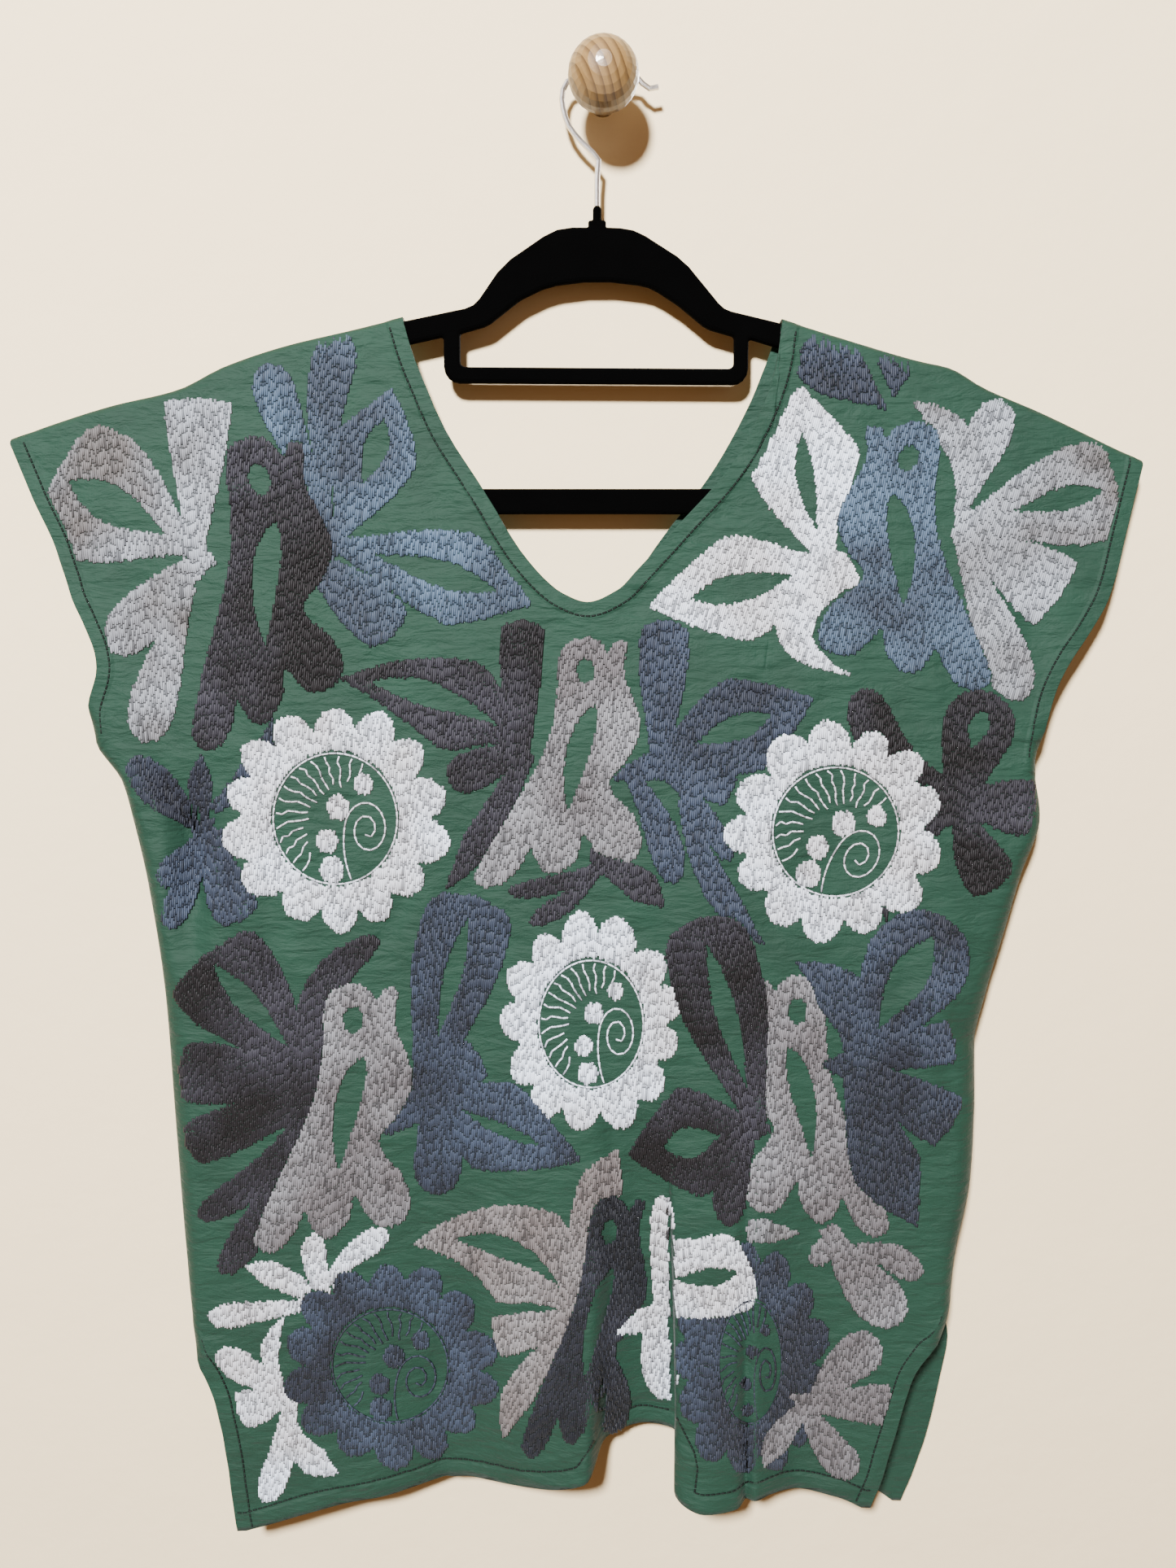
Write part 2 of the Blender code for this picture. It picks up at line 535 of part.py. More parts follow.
def wall_knob():
    """Turned wooden ball on a short neck with a flat back."""
    start = math.asin(NECK_RADIUS / BALL_RADIUS)
    profile = [(0.0, 0.0), (NECK_RADIUS, 0.0)]
    for k in range(13):
        angle = start + (math.pi - start) * k / 12
        profile.append((BALL_RADIUS * math.sin(angle), BALL_Y + BALL_RADIUS * math.cos(angle)))
    profile[-1] = (0.0, BALL_Y - BALL_RADIUS)
    mesh = bmesh.new()
    line = [mesh.verts.new((r * MM, y * MM, 0)) for r, y in profile]
    for a, b in zip(line, line[1:]):
        mesh.edges.new((a, b))
    bmesh.ops.spin(
        mesh, geom=mesh.verts[:] + mesh.edges[:], axis=(0, 1, 0), cent=(0, 0, 0),
        angle=2 * math.pi, steps=28, use_merge=True,
    )  # fmt: skip
    bmesh.ops.remove_doubles(mesh, verts=mesh.verts, dist=1e-6)
    bmesh.ops.recalc_face_normals(mesh, faces=mesh.faces)
    data = bpy.data.meshes.new("wall_knob")
    mesh.to_mesh(data)
    mesh.free()
    data.shade_smooth()
    finish_with(place("wall_knob", data), (0.55, 0.37, 0.2), 0.5)


def blouse():
    """Front and back panels, parted by the seam gap along the shoulder fold and the side seams."""
    front = wall_mesh(
        "front_panel",
        *middle_surface(FRONT_FALLS, FRONT_CREASES, NECK_FRONT, LEFT_EDGE, RIGHT_EDGE, FRONT_DEPTH, -1),
    )
    finish_with(front, (0.05, 0.17, 0.1), 0.8)
    back_left = edge_with_slit(LEFT_EDGE, BACK_LEFT_SLIT)
    back_right = edge_with_slit(RIGHT_EDGE, BACK_RIGHT_SLIT)
    back = wall_mesh(
        "back_panel",
        *middle_surface(BACK_FALLS, BACK_CREASES, NECK_BACK, back_left, back_right, BACK_DEPTH, 1),
    )
    finish_with(back, (0.04, 0.13, 0.09), 0.8)


def main():
    for thing in list(bpy.data.objects):
        bpy.data.objects.remove(thing, do_unlink=True)
    blouse()
    hanger_frame()
    hanger_hook()
    wall_knob()


main()
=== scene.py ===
"""Looks of a huipil blouse hung on a slim velvet hanger over a wooden wall knob.

Sizes are in millimetres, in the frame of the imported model: +Z up, +X to the right as seen from the front,
and the wall is the plane Y = 0. They become metres where a mesh is made.
"""

import logging
import math
from dataclasses import dataclass, field, replace
from enum import Enum
from functools import partial
from typing import Callable, NamedTuple

import bpy
import numpy as np
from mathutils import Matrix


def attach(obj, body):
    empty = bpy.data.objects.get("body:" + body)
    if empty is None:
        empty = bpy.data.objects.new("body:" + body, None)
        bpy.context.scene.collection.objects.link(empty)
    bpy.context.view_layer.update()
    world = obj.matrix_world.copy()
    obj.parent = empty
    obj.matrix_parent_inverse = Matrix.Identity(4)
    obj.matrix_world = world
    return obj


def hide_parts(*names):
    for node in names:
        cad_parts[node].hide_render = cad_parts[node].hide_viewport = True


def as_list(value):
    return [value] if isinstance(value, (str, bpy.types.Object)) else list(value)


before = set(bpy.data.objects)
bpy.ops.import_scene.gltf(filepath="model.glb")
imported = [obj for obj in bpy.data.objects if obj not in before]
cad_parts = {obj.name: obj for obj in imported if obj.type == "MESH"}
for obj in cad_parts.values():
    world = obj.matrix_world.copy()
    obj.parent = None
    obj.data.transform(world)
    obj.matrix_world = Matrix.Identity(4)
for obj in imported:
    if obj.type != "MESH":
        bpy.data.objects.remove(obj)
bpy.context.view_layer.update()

MM = 0.001
SEED = 41
LOG = logging.getLogger("huipil")

# The camera stands where the front was seen from, a little above the middle and tipped down.
CAMERA_PLACE = (-7.7, -670.2, -286.7)
CAMERA_TIP_DEGREES = 6.0
CAMERA_FOCAL_PIXELS = 1498.8
PHOTO_TALL_PIXELS = 1927
SENSOR_WIDTH = 36.0


class Fall(NamedTuple):
    """One fall of a panel: where its line runs and how deep its hem lies.

    Attributes:
        name: What the line follows.
        x_top: Its place along the top edge.
        x_mid: Its place at the middle section.
        x_hem: Its place at the hem.
        y_hem: How deep the cloth lies there.
        z_hem: The hem's height.
        z_start: Where the fall begins.
        columns: How many coarse columns of faces follow it.
    """

    name: str
    x_top: float
    x_mid: float
    x_hem: float
    y_hem: float
    z_hem: float
    z_start: float
    columns: int


class Crease(NamedTuple):
    """A soft trough (positive depth, towards the wall) or ridge (negative) from one point to another."""

    x_from: float
    z_from: float
    x_to: float
    z_to: float
    half_width: float
    depth: float


# The hung cloth's measures, the same as its solids have: the depth of the hanger's middle, the cloth's
# thickness, the gap at the seams, and the radius in which the cloth turns over a fold.
HANGER_Y = -12.0
WALL = 1.2
HALF_WALL = WALL / 2
SEAM_GAP = 0.3
FOLD_ROUND = 3.7

# Where the side seams start under the arms and end at the slits, and how soon they open there.
UNDERARM_LEFT_Z = -330.0
UNDERARM_RIGHT_Z = -343.0
SLIT_LEFT_Z = -660.0
SLIT_RIGHT_Z = -650.0
SEAM_FADE = 20.0

# The height of the falls' middle section, and the share of the width that bends to meet a side edge.
MID_Z = -540.0
EDGE_SHARE = 0.15

# The outlines of the blouse as it hangs: places across (x) and heights (z) of the same points.
SHOULDER_LEFT = {
    "x": (-310, -292, -258, -222, -198, -166, -129, -104),
    "z": (-174, -167.5, -157, -148.5, -137, -126.5, -118, -112),
}
SHOULDER_RIGHT = {
    "x": (93, 133, 165, 181, 199, 229, 269, 283),
    "z": (-113, -125, -134, -137.5, -147.5, -160, -178.5, -185),
}
NECK_FRONT = {
    "x": (-104, -99, -93, -84, -62, -43, -31, -21, -8, 8, 18, 40, 69, 86, 91, 93),
    "z": (-112, -130, -145, -166, -201, -232, -246, -254, -258.5, -252, -242, -218, -185, -151, -132, -113),
}
NECK_BACK = {
    "x": (-104, -101, -97, -89, -67, -48, -36, -24, -12, 2, 12, 32, 58, 76, 86, 93),
    "z": (-112, -130, -145, -168, -205, -238, -254, -265, -270, -264, -252, -224, -190, -158, -134, -113),
}
LEFT_EDGE = {
    "z": (-779, -774, -737, -698, -660, -611, -536, -472, -409, -372, -352, -330, -311, -291, -253, -225,
          -202, -174),
    "x": (-201, -204, -208, -214, -228, -232, -236, -239, -246, -253, -258, -271, -272, -267, -280, -289,
          -299, -310),
}  # fmt: skip
RIGHT_EDGE = {
    "z": (-765, -748, -726, -698, -682, -650, -620, -570, -536, -497, -466, -435, -403, -372, -343, -303,
          -254, -217, -185),
    "x": (149, 155, 161, 168, 173, 194, 197, 205, 206, 205, 211, 219, 227, 236, 232, 240, 267, 276, 283),
}  # fmt: skip
BACK_LEFT_SLIT = {"z": (-772, -737, -698, -660), "x": (-196, -203, -211, -228)}
BACK_RIGHT_SLIT = {"z": (-779, -741, -703, -675, -650), "x": (174, 187, 195, 199, 194)}

# How far from a side edge the cloth has rounded to its face, and how deep each panel lies, by height.
SIDE_ROUND = {"z": (-780, -700, -600, -480, -400, -330, -250, -174), "mm": (5, 6, 12, 15, 11, 7, 5, 4)}
FRONT_DEPTH = {
    "z": (-785, -650, -520, -400, -300, -215, -170, -112),
    "y": (-33, -33, -31, -28, -23, -17.6, -16.3, -15.9),
}
BACK_DEPTH = {
    "z": (-785, -650, -520, -400, -300, -215, -170, -112),
    "y": (-5.5, -5.5, -5.6, -5.8, -6.2, -7.6, -7.9, -8.1),
}

FRONT_FALLS = (
    Fall("left edge", -303, -222, -196, -34, -774, -330, 4),
    Fall("left waist", -205, -168, -148, -31, -761, -400, 2),
    Fall("left breast", -150, -135, -116, -26, -757, -400, 2),
    Fall("neck left", -104, -104, -93, -18.5, -753, -420, 1),
    Fall("over the arm", -103.9, -101.5, -90.5, -18, -752.5, -420, 1),
    Fall("arm's corner", -103.5, -99, -88, -18, -752, -420, 1),
    Fall("arm's front", -102.7, -96, -85, -18.5, -752, -420, 1),
    Fall("neck edge", -95, -88, -76, -20, -751, -420, 2),
    Fall("left rise", -56, -54, -42, -33, -749, -420, 3),
    Fall("centre crest", -14, -6, -10, -42, -741, -480, 2),
    Fall("valley left", -5, 7, 2, -21, -727, -510, 2),
    Fall("valley floor", 2, 20, 24, -12.5, -723.5, -500, 2),
    Fall("valley right", 9, 34, 43, -15, -727, -530, 2),
    Fall("fold edge", 15, 38, 41, -38, -748, -540, 2),
    Fall("right crest", 30, 50, 56, -46, -755, -500, 2),
    Fall("right rise", 70, 70, 74, -42.5, -755, -430, 1),
    Fall("neck edge", 88, 79, 80, -35, -754, -430, 1),
    Fall("arm's front", 92.6, 84, 85, -38, -753.5, -430, 1),
    Fall("arm's corner", 92.85, 87, 88, -37, -753, -430, 1),
    Fall("over the arm", 92.95, 90, 91, -35.5, -752.5, -430, 1),
    Fall("neck right", 93, 93, 94, -34, -752, -430, 2),
    Fall("right breast", 140, 120, 110, -28, -752.5, -420, 3),
    Fall("right waist", 195, 155, 130, -31, -755, -400, 3),
    Fall("right edge", 278, 194, 145, -33, -761, -330, 0),
)
BACK_FALLS = (
    Fall("left edge", -303, -222, -192, -7, -768, -330, 4),
    Fall("left waist", -205, -168, -150, -3.2, -756, -360, 3),
    Fall("neck left", -104, -110, -102, -8.5, -742, -380, 1),
    Fall("over the arm", -103.9, -107, -99, -8.4, -741, -380, 1),
    Fall("arm's corner", -103.7, -104, -96, -8.2, -740, -380, 1),
    Fall("arm's back", -103.2, -101, -93, -8, -739, -380, 1),
    Fall("neck edge", -96, -94, -86, -7, -737, -380, 2),
    Fall("left fall", -48, -56, -52, -3.5, -728, -420, 3),
    Fall("centre", -12, -10, -8, -7, -714, -440, 3),
    Fall("under valley", 20, 26, 30, -3, -711, -480, 2),
    Fall("right fall", 56, 64, 70, -8.5, -722, -420, 2),
    Fall("neck edge", 84, 84, 92, -6, -732, -400, 1),
    Fall("arm's back", 91.7, 90, 98, -5, -735, -400, 1),
    Fall("arm's corner", 92.4, 93, 101, -4.5, -736.5, -400, 1),
    Fall("over the arm", 92.85, 96, 104, -4.2, -738, -400, 1),
    Fall("neck right", 93, 99, 107, -4, -739, -400, 4),
    Fall("right waist", 195, 152, 145, -8, -758, -360, 3),
    Fall("right edge", 278, 194, 174, -5, -777, -330, 0),
)
FRONT_CREASES = (
    Crease(-218, -330, -222, -470, 17, 11),
    Crease(-252, -322, -205, -410, 9, 3.5),
    Crease(-186, -330, -192, -480, 14, -3.5),
    Crease(-90, -392, -128, -452, 10, 3),
    Crease(184, -432, 216, -462, 9, 3.2),
    Crease(182, -478, 214, -504, 8, 3),
    Crease(180, -516, 210, -552, 9, 3.2),
    Crease(-70, -610, -96, -730, 16, 3),
    Crease(-176, -250, -150, -470, 30, -3),
    Crease(-60, -300, -75, -520, 34, 3),
    Crease(120, -280, 128, -500, 32, 3),
    Crease(186, -400, 168, -560, 20, -4.5),
    Crease(60, -330, 52, -500, 26, -2.5),
    Crease(-255, -200, -240, -320, 18, 2.5),
    Crease(240, -215, 215, -330, 18, 2.5),
)
BACK_CREASES = (
    Crease(-200, -350, -205, -520, 20, -2.2),
    Crease(-20, -320, -30, -560, 30, 1.6),
    Crease(150, -330, 140, -560, 26, -2),
)


def smooth(xs: tuple[float, ...], ys: tuple[float, ...], at: np.ndarray) -> np.ndarray:
    """Reads a monotone cubic through a table's points.

    Args:
        xs: Rising places.
        ys: The value at each place.
        at: Where to read.

    Returns:
        The value at each of at.
    """
    xs = np.asarray(xs, float)
    ys = np.asarray(ys, float)
    at = np.clip(np.asarray(at, float), xs[0], xs[-1])
    width = np.diff(xs)
    slope = np.diff(ys) / width
    tangent = np.zeros(len(xs))
    tangent[0], tangent[-1] = slope[0], slope[-1]
    same_way = slope[:-1] * slope[1:] > 0
    harmonic = 2 * slope[:-1] * slope[1:] / np.where(same_way, slope[:-1] + slope[1:], 1.0)
    tangent[1:-1] = np.where(same_way, harmonic, 0.0)
    index = np.clip(np.searchsorted(xs, at, side="right") - 1, 0, len(xs) - 2)
    h = width[index]
    t = (at - xs[index]) / h
    return (
        ys[index] * (1 + 2 * t) * (1 - t) ** 2
        + tangent[index] * h * t * (1 - t) ** 2
        + ys[index + 1] * t**2 * (3 - 2 * t)
        + tangent[index + 1] * h * t**2 * (t - 1)
    )


def raised_cosine(s: np.ndarray) -> np.ndarray:
    """Gives a bump that is 1 at 0 and 0 beyond 1."""
    return np.where(np.abs(s) < 1, 0.5 + 0.5 * np.cos(np.pi * np.clip(s, -1, 1)), 0.0)


def turn(distance: np.ndarray, reach: np.ndarray) -> np.ndarray:
    """Gives 1 on a fold's line and 0 where the cloth has rounded to its face, as a quarter circle."""
    s = np.clip(distance / reach, 0, 1)
    return 1 - np.sqrt(np.clip(1 - (1 - s) ** 2, 0, 1))


def seam_share(z: np.ndarray, top: float, bottom: float) -> np.ndarray:
    """Finds how far each point belongs to the side seam.

    Args:
        z: Heights.
        top: Where the seam starts under the arm.
        bottom: Where it ends at the slit.

    Returns:
        1 along the seam, 0 on the open cuff and slit.
    """
    above = np.clip((z - top) / SEAM_FADE, 0, 1)
    below = np.clip((bottom - z) / SEAM_FADE, 0, 1)
    share = (1 - above) * (1 - below)
    return share * share * (3 - 2 * share)


def edge_with_slit(edge: dict, slit: dict) -> dict:
    """Takes a side edge's slit stretch from another layer's table.

    Args:
        edge: The side edge's heights and places.
        slit: The other layer's, from its hem to the slit's top.

    Returns:
        The joined table.
    """
    above = [(z, x) for z, x in zip(edge["z"], edge["x"]) if z > slit["z"][-1]]
    rows = list(zip(slit["z"], slit["x"])) + above
    return {"z": tuple(z for z, _ in rows), "x": tuple(x for _, x in rows)}


class Side(Enum):
    """Which way a panel faces: the sign of Y on its outer face."""

    FRONT = -1
    BACK = 1


@dataclass
class Surface:
    """The outer and inner faces of one panel as grids of rows by columns.

    Attributes:
        outer: Points of the face with the embroidery.
        inner: Points of the face towards the wearer.
        edge_mm: How far each outer point is from an open edge.
    """

    outer: np.ndarray
    inner: np.ndarray
    edge_mm: np.ndarray


@dataclass
class Panel:
    """One length of the blouse from shoulder fold to hem: a closed wall of thin rayon.

    Attributes:
        name: The piece's name.
        replaces: The node that it stands for.
        side: Which way it faces.
        falls: Its falls from the left edge to the right.
        creases: Its softer troughs and ridges.
        neck: The V neck's edge.
        left_edge: Cuff, side seam and slit on the left.
        right_edge: The same on the right.
        depth: How deep the cloth lies by height.
        columns_per_column: How many fine columns each coarse one becomes.
        rows: How many rows lie below the rounded top.
        turn_steps: Where the rows and columns that round a fold lie, as shares of its radius.
        hem_band: The turned hems' width.
        hem_extra: How much thicker the cloth is there.
        pucker_high: The height of the small waves that the stitching leaves.
        flat_width: The cut's width across both sleeves; not used.
        flat_length: The cut's length from fold to hem; not used.
        flat_area: The cut's area, without the neck and what lies outside the underarm; not used.
    """

    name: str
    replaces: str
    side: Side
    falls: tuple[Fall, ...]
    creases: tuple[Crease, ...]
    neck: dict
    left_edge: dict
    right_edge: dict
    depth: dict
    columns_per_column: int = 4
    rows: int = 150
    turn_steps: tuple[float, ...] = (0.0, 0.05, 0.14, 0.28, 0.5, 0.75, 1.0)
    hem_band: float = 9.5
    hem_extra: float = 0.35
    pucker_high: float = 0.45
    flat_width: float = 600.0
    flat_length: float = 660.0
    flat_area: float = 0.31

    PUCKER_WAVES = 14
    PUCKER_LENGTHS = (16.0, 46.0)
    PUCKER_FADE = 60.0
    # Beside the hanger's arms the neck's edge rounds in a wider bend, which grows over this height.
    NECK_ROUND = 9.0
    NECK_FADE = 16.0
    FALL_GROWTH = 1.2
    ON_FOLD = 0.999
    HEM_STEP = 1.5
    EDGE_CHUNKS = 40
    NO_HEM = 99.0

    def top_line(self, x: np.ndarray) -> np.ndarray:
        """Reads the top edge's height: shoulder, neck, shoulder.

        Args:
            x: Places along the panel.

        Returns:
            The edge's height at each.
        """
        left = smooth(SHOULDER_LEFT["x"], SHOULDER_LEFT["z"], x)
        right = smooth(SHOULDER_RIGHT["x"], SHOULDER_RIGHT["z"], x)
        middle = smooth(self.neck["x"], self.neck["z"], x)
        return np.where(x <= self.neck["x"][0], left, np.where(x >= self.neck["x"][-1], right, middle))

    def crease_depth(self, x: np.ndarray, z: np.ndarray) -> np.ndarray:
        """Adds up how far the soft troughs and ridges move the cloth.

        Args:
            x: Places across.
            z: Heights.

        Returns:
            The move towards the wall at each point.
        """
        total = np.zeros_like(x)
        for crease in self.creases:
            run_x, run_z = crease.x_to - crease.x_from, crease.z_to - crease.z_from
            length = math.hypot(run_x, run_z)
            along_x, along_z = run_x / length, run_z / length
            along = ((x - crease.x_from) * along_x + (z - crease.z_from) * along_z) / length
            across = (x - crease.x_from) * along_z - (z - crease.z_from) * along_x
            total += crease.depth * raised_cosine(across / crease.half_width) * raised_cosine(2 * along - 1)
        return total

    def puckers(self, x: np.ndarray, z: np.ndarray) -> np.ndarray:
        """Gives the small uneven waves that dense stitching leaves in thin cloth.

        Args:
            x: Places across.
            z: Heights.

        Returns:
            The waves' height at each point, within about pucker_high.
        """
        draws = np.random.default_rng(SEED + self.side.value)
        waves = np.zeros_like(x)
        for _ in range(self.PUCKER_WAVES):
            length = draws.uniform(*self.PUCKER_LENGTHS)
            heading = draws.uniform(0, math.pi)
            phase = draws.uniform(0, 2 * math.pi)
            waves += np.sin((x * math.cos(heading) + z * math.sin(heading)) * 2 * math.pi / length + phase)
        return self.pucker_high * waves / math.sqrt(self.PUCKER_WAVES)

    def middle(self) -> tuple[np.ndarray, ...]:
        """Works out the points halfway through the cloth.

        Returns:
            x, y and z as rows by columns, and which points lie on a seam or fold line.
        """
        counts = [fall.columns * self.columns_per_column for fall in self.falls]
        starts = np.concatenate([[0], np.cumsum(counts)])[: len(self.falls)]
        at = np.arange(starts[-1] + 1)
        x_top, x_mid, x_hem, y_hem, z_hem, z_start = [
            smooth(starts, [fall[k] for fall in self.falls], at) for k in range(1, 7)
        ]
        z_top = self.top_line(x_top)
        on_shoulder = (x_top <= self.neck["x"][0]) | (x_top >= self.neck["x"][-1])
        corner_z = np.where(x_top < 0, self.neck["z"][0], self.neck["z"][-1])
        clear_of_arm = np.where(on_shoulder, 0.0, np.clip((corner_z - z_top) / self.NECK_FADE, 0, 1))

        turned = np.outer(self.turn_steps, FOLD_ROUND + self.NECK_ROUND * clear_of_arm)
        fractions = np.linspace(0, 1, self.rows + 1)[1:, None]
        start = z_top - turned[-1]
        z = np.concatenate([z_top - turned, start + (z_hem - start) * fractions])

        a, b, c = z_top, MID_Z, z_hem
        x = (
            x_top * (z - b) * (z - c) / ((a - b) * (a - c))
            + x_mid * (z - a) * (z - c) / ((b - a) * (b - c))
            + x_hem * (z - a) * (z - b) / ((c - a) * (c - b))
        )
        share = np.linspace(0, 1, x.shape[1])
        to_left = np.clip(1 - share / EDGE_SHARE, 0, 1) ** 2
        to_right = np.clip(1 - (1 - share) / EDGE_SHARE, 0, 1) ** 2
        round_left = smooth(SIDE_ROUND["z"], SIDE_ROUND["mm"], z[:, :1])
        round_right = smooth(SIDE_ROUND["z"], SIDE_ROUND["mm"], z[:, -1:])
        edge_left = smooth(self.left_edge["z"], self.left_edge["x"], z[:, :1])
        edge_right = smooth(self.right_edge["z"], self.right_edge["x"], z[:, -1:])
        shift_left = to_left * (edge_left + round_left - x[:, :1])
        shift_right = to_right * (edge_right - round_right - x[:, -1:])
        x = x + shift_left + shift_right

        steps = np.array(self.turn_steps[:-1])
        more = len(steps)
        rounds = edge_left + round_left * steps, edge_right - round_right * steps[::-1]
        x = np.concatenate([rounds[0], x, rounds[1]], axis=1)
        z = np.concatenate([np.repeat(z[:, :1], more, 1), z, np.repeat(z[:, -1:], more, 1)], axis=1)
        z = z + (self.top_line(x[0]) - z[0]) * (z - z[-1]) / (z[0] - z[-1])

        def widen(values: np.ndarray) -> np.ndarray:
            """Repeats the outer values over the columns that round back to the seams."""
            return np.concatenate([np.repeat(values[:1], more), values, np.repeat(values[-1:], more)])

        z_start, z_hem, y_hem = widen(z_start), widen(z_hem), widen(y_hem)
        fold_z = np.where(widen(on_shoulder), z[0], widen(corner_z))
        flat = smooth(self.depth["z"], self.depth["y"], z)
        grown = np.clip((z_start - z) / (z_start - z_hem), 0, 1) ** self.FALL_GROWTH
        y = flat + (y_hem - self.depth["y"][0]) * grown + self.crease_depth(x, z)

        seam = np.maximum(
            turn(x - edge_left, round_left) * seam_share(z, UNDERARM_LEFT_Z, SLIT_LEFT_Z),
            turn(edge_right - x, round_right) * seam_share(z, UNDERARM_RIGHT_Z, SLIT_RIGHT_Z),
        )
        over_arm = turn(fold_z - z, FOLD_ROUND)
        joined = 1 - (1 - seam) * (1 - over_arm)
        clear = np.clip((fold_z - z) / self.PUCKER_FADE, 0, 1) * np.clip(1 - 2 * joined, 0, 1)
        y = y + self.puckers(x, z) * clear
        y = y + joined * (HANGER_Y + self.side.value * SEAM_GAP / 2 - y)
        return x, y, z, joined > self.ON_FOLD

    def open_edges(self, x: np.ndarray, z: np.ndarray) -> list[np.ndarray]:
        """Collects the lines of the panel's hemmed edges.

        Args:
            x: Places of the middle points.
            z: Their heights.

        Returns:
            Neck, hem, both cuffs and both slits, each as points of x and z.
        """
        points = np.stack([x, z], axis=-1)
        neck = points[0][(x[0] >= self.neck["x"][0]) & (x[0] <= self.neck["x"][-1])]
        left, right = points[:, 0], points[:, -1]
        return [
            neck,
            points[-1],
            left[left[:, 1] > UNDERARM_LEFT_Z],
            right[right[:, 1] > UNDERARM_RIGHT_Z],
            left[left[:, 1] < SLIT_LEFT_Z],
            right[right[:, 1] < SLIT_RIGHT_Z],
        ]

    def surface(self) -> Surface:
        """Gives the wall its thickness, a little more where the hems are turned.

        Returns:
            The panel's two faces.
        """
        x, y, z, on_seam = self.middle()
        points = np.stack([x, y, z], axis=-1)
        normal = np.cross(np.gradient(points, axis=1), np.gradient(points, axis=0))
        normal[..., 1] = np.where(on_seam, 0.0, normal[..., 1])
        normal /= np.linalg.norm(normal, axis=-1, keepdims=True)
        facing = np.median(normal[..., 1]) * self.side.value
        normal *= math.copysign(1, facing)

        flat = np.stack([x, z], axis=-1).reshape(-1, 2)
        edges = np.concatenate(self.open_edges(x, z))
        nearest = np.full(len(flat), np.inf)
        for chunk in np.array_split(edges, self.EDGE_CHUNKS):
            gaps = np.hypot(flat[:, None, 0] - chunk[None, :, 0], flat[:, None, 1] - chunk[None, :, 1])
            nearest = np.minimum(nearest, gaps.min(axis=1))
        edge_mm = nearest.reshape(x.shape)
        thick = HALF_WALL + self.hem_extra * np.clip((self.hem_band - edge_mm) / self.HEM_STEP, 0, 1)
        return Surface(points + thick[..., None] * normal, points - HALF_WALL * normal, edge_mm)

    def build(self, surface: Surface, finish: bpy.types.Material) -> bpy.types.Object:
        """Makes the closed wall's mesh.

        Args:
            surface: The panel's two faces.
            finish: The cloth's material.

        Returns:
            The panel's object.
        """
        rows, columns = surface.edge_mm.shape
        index = np.arange(rows * columns).reshape(rows, columns)
        corners = [index[:-1, :-1], index[1:, :-1], index[1:, 1:], index[:-1, 1:]]
        quads = np.stack(corners, axis=-1).reshape(-1, 4)
        inner = rows * columns
        border = np.concatenate([index[0], index[1:, -1], index[-1, -2::-1], index[-2:0:-1, 0]])
        following = np.roll(border, -1)
        rim = np.stack([border, following, following + inner, border + inner], axis=-1)
        faces = np.concatenate([quads, quads[:, ::-1] + inner, rim])
        points = np.concatenate([surface.outer.reshape(-1, 3), surface.inner.reshape(-1, 3)])
        edge_mm = np.concatenate([surface.edge_mm.ravel(), np.full(inner, self.NO_HEM)])
        if self.side is Side.BACK:
            faces = faces[:, ::-1]
        return make_mesh(self.name, points, faces, finish, {"edge_mm": edge_mm})


def make_mesh(
    name: str,
    points: np.ndarray,
    faces: np.ndarray,
    finish: bpy.types.Material,
    attributes: dict[str, np.ndarray] | None = None,
) -> bpy.types.Object:
    """Makes a smooth mesh object from arrays.

    Args:
        name: The piece's name.
        points: Its points in millimetres.
        faces: The corners of each face.
        finish: Its material.
        attributes: A number for each point under each name.

    Returns:
        The object, in the scene.
    """
    data = bpy.data.meshes.new(name)
    data.from_pydata((points * MM).tolist(), [], faces.tolist())
    for key, values in (attributes or {}).items():
        data.attributes.new(key, "FLOAT", "POINT").data.foreach_set("value", values.astype(np.float32))
    data.shade_smooth()
    data.materials.append(finish)
    thing = bpy.data.objects.new(name, data)
    bpy.context.scene.collection.objects.link(thing)
    return thing


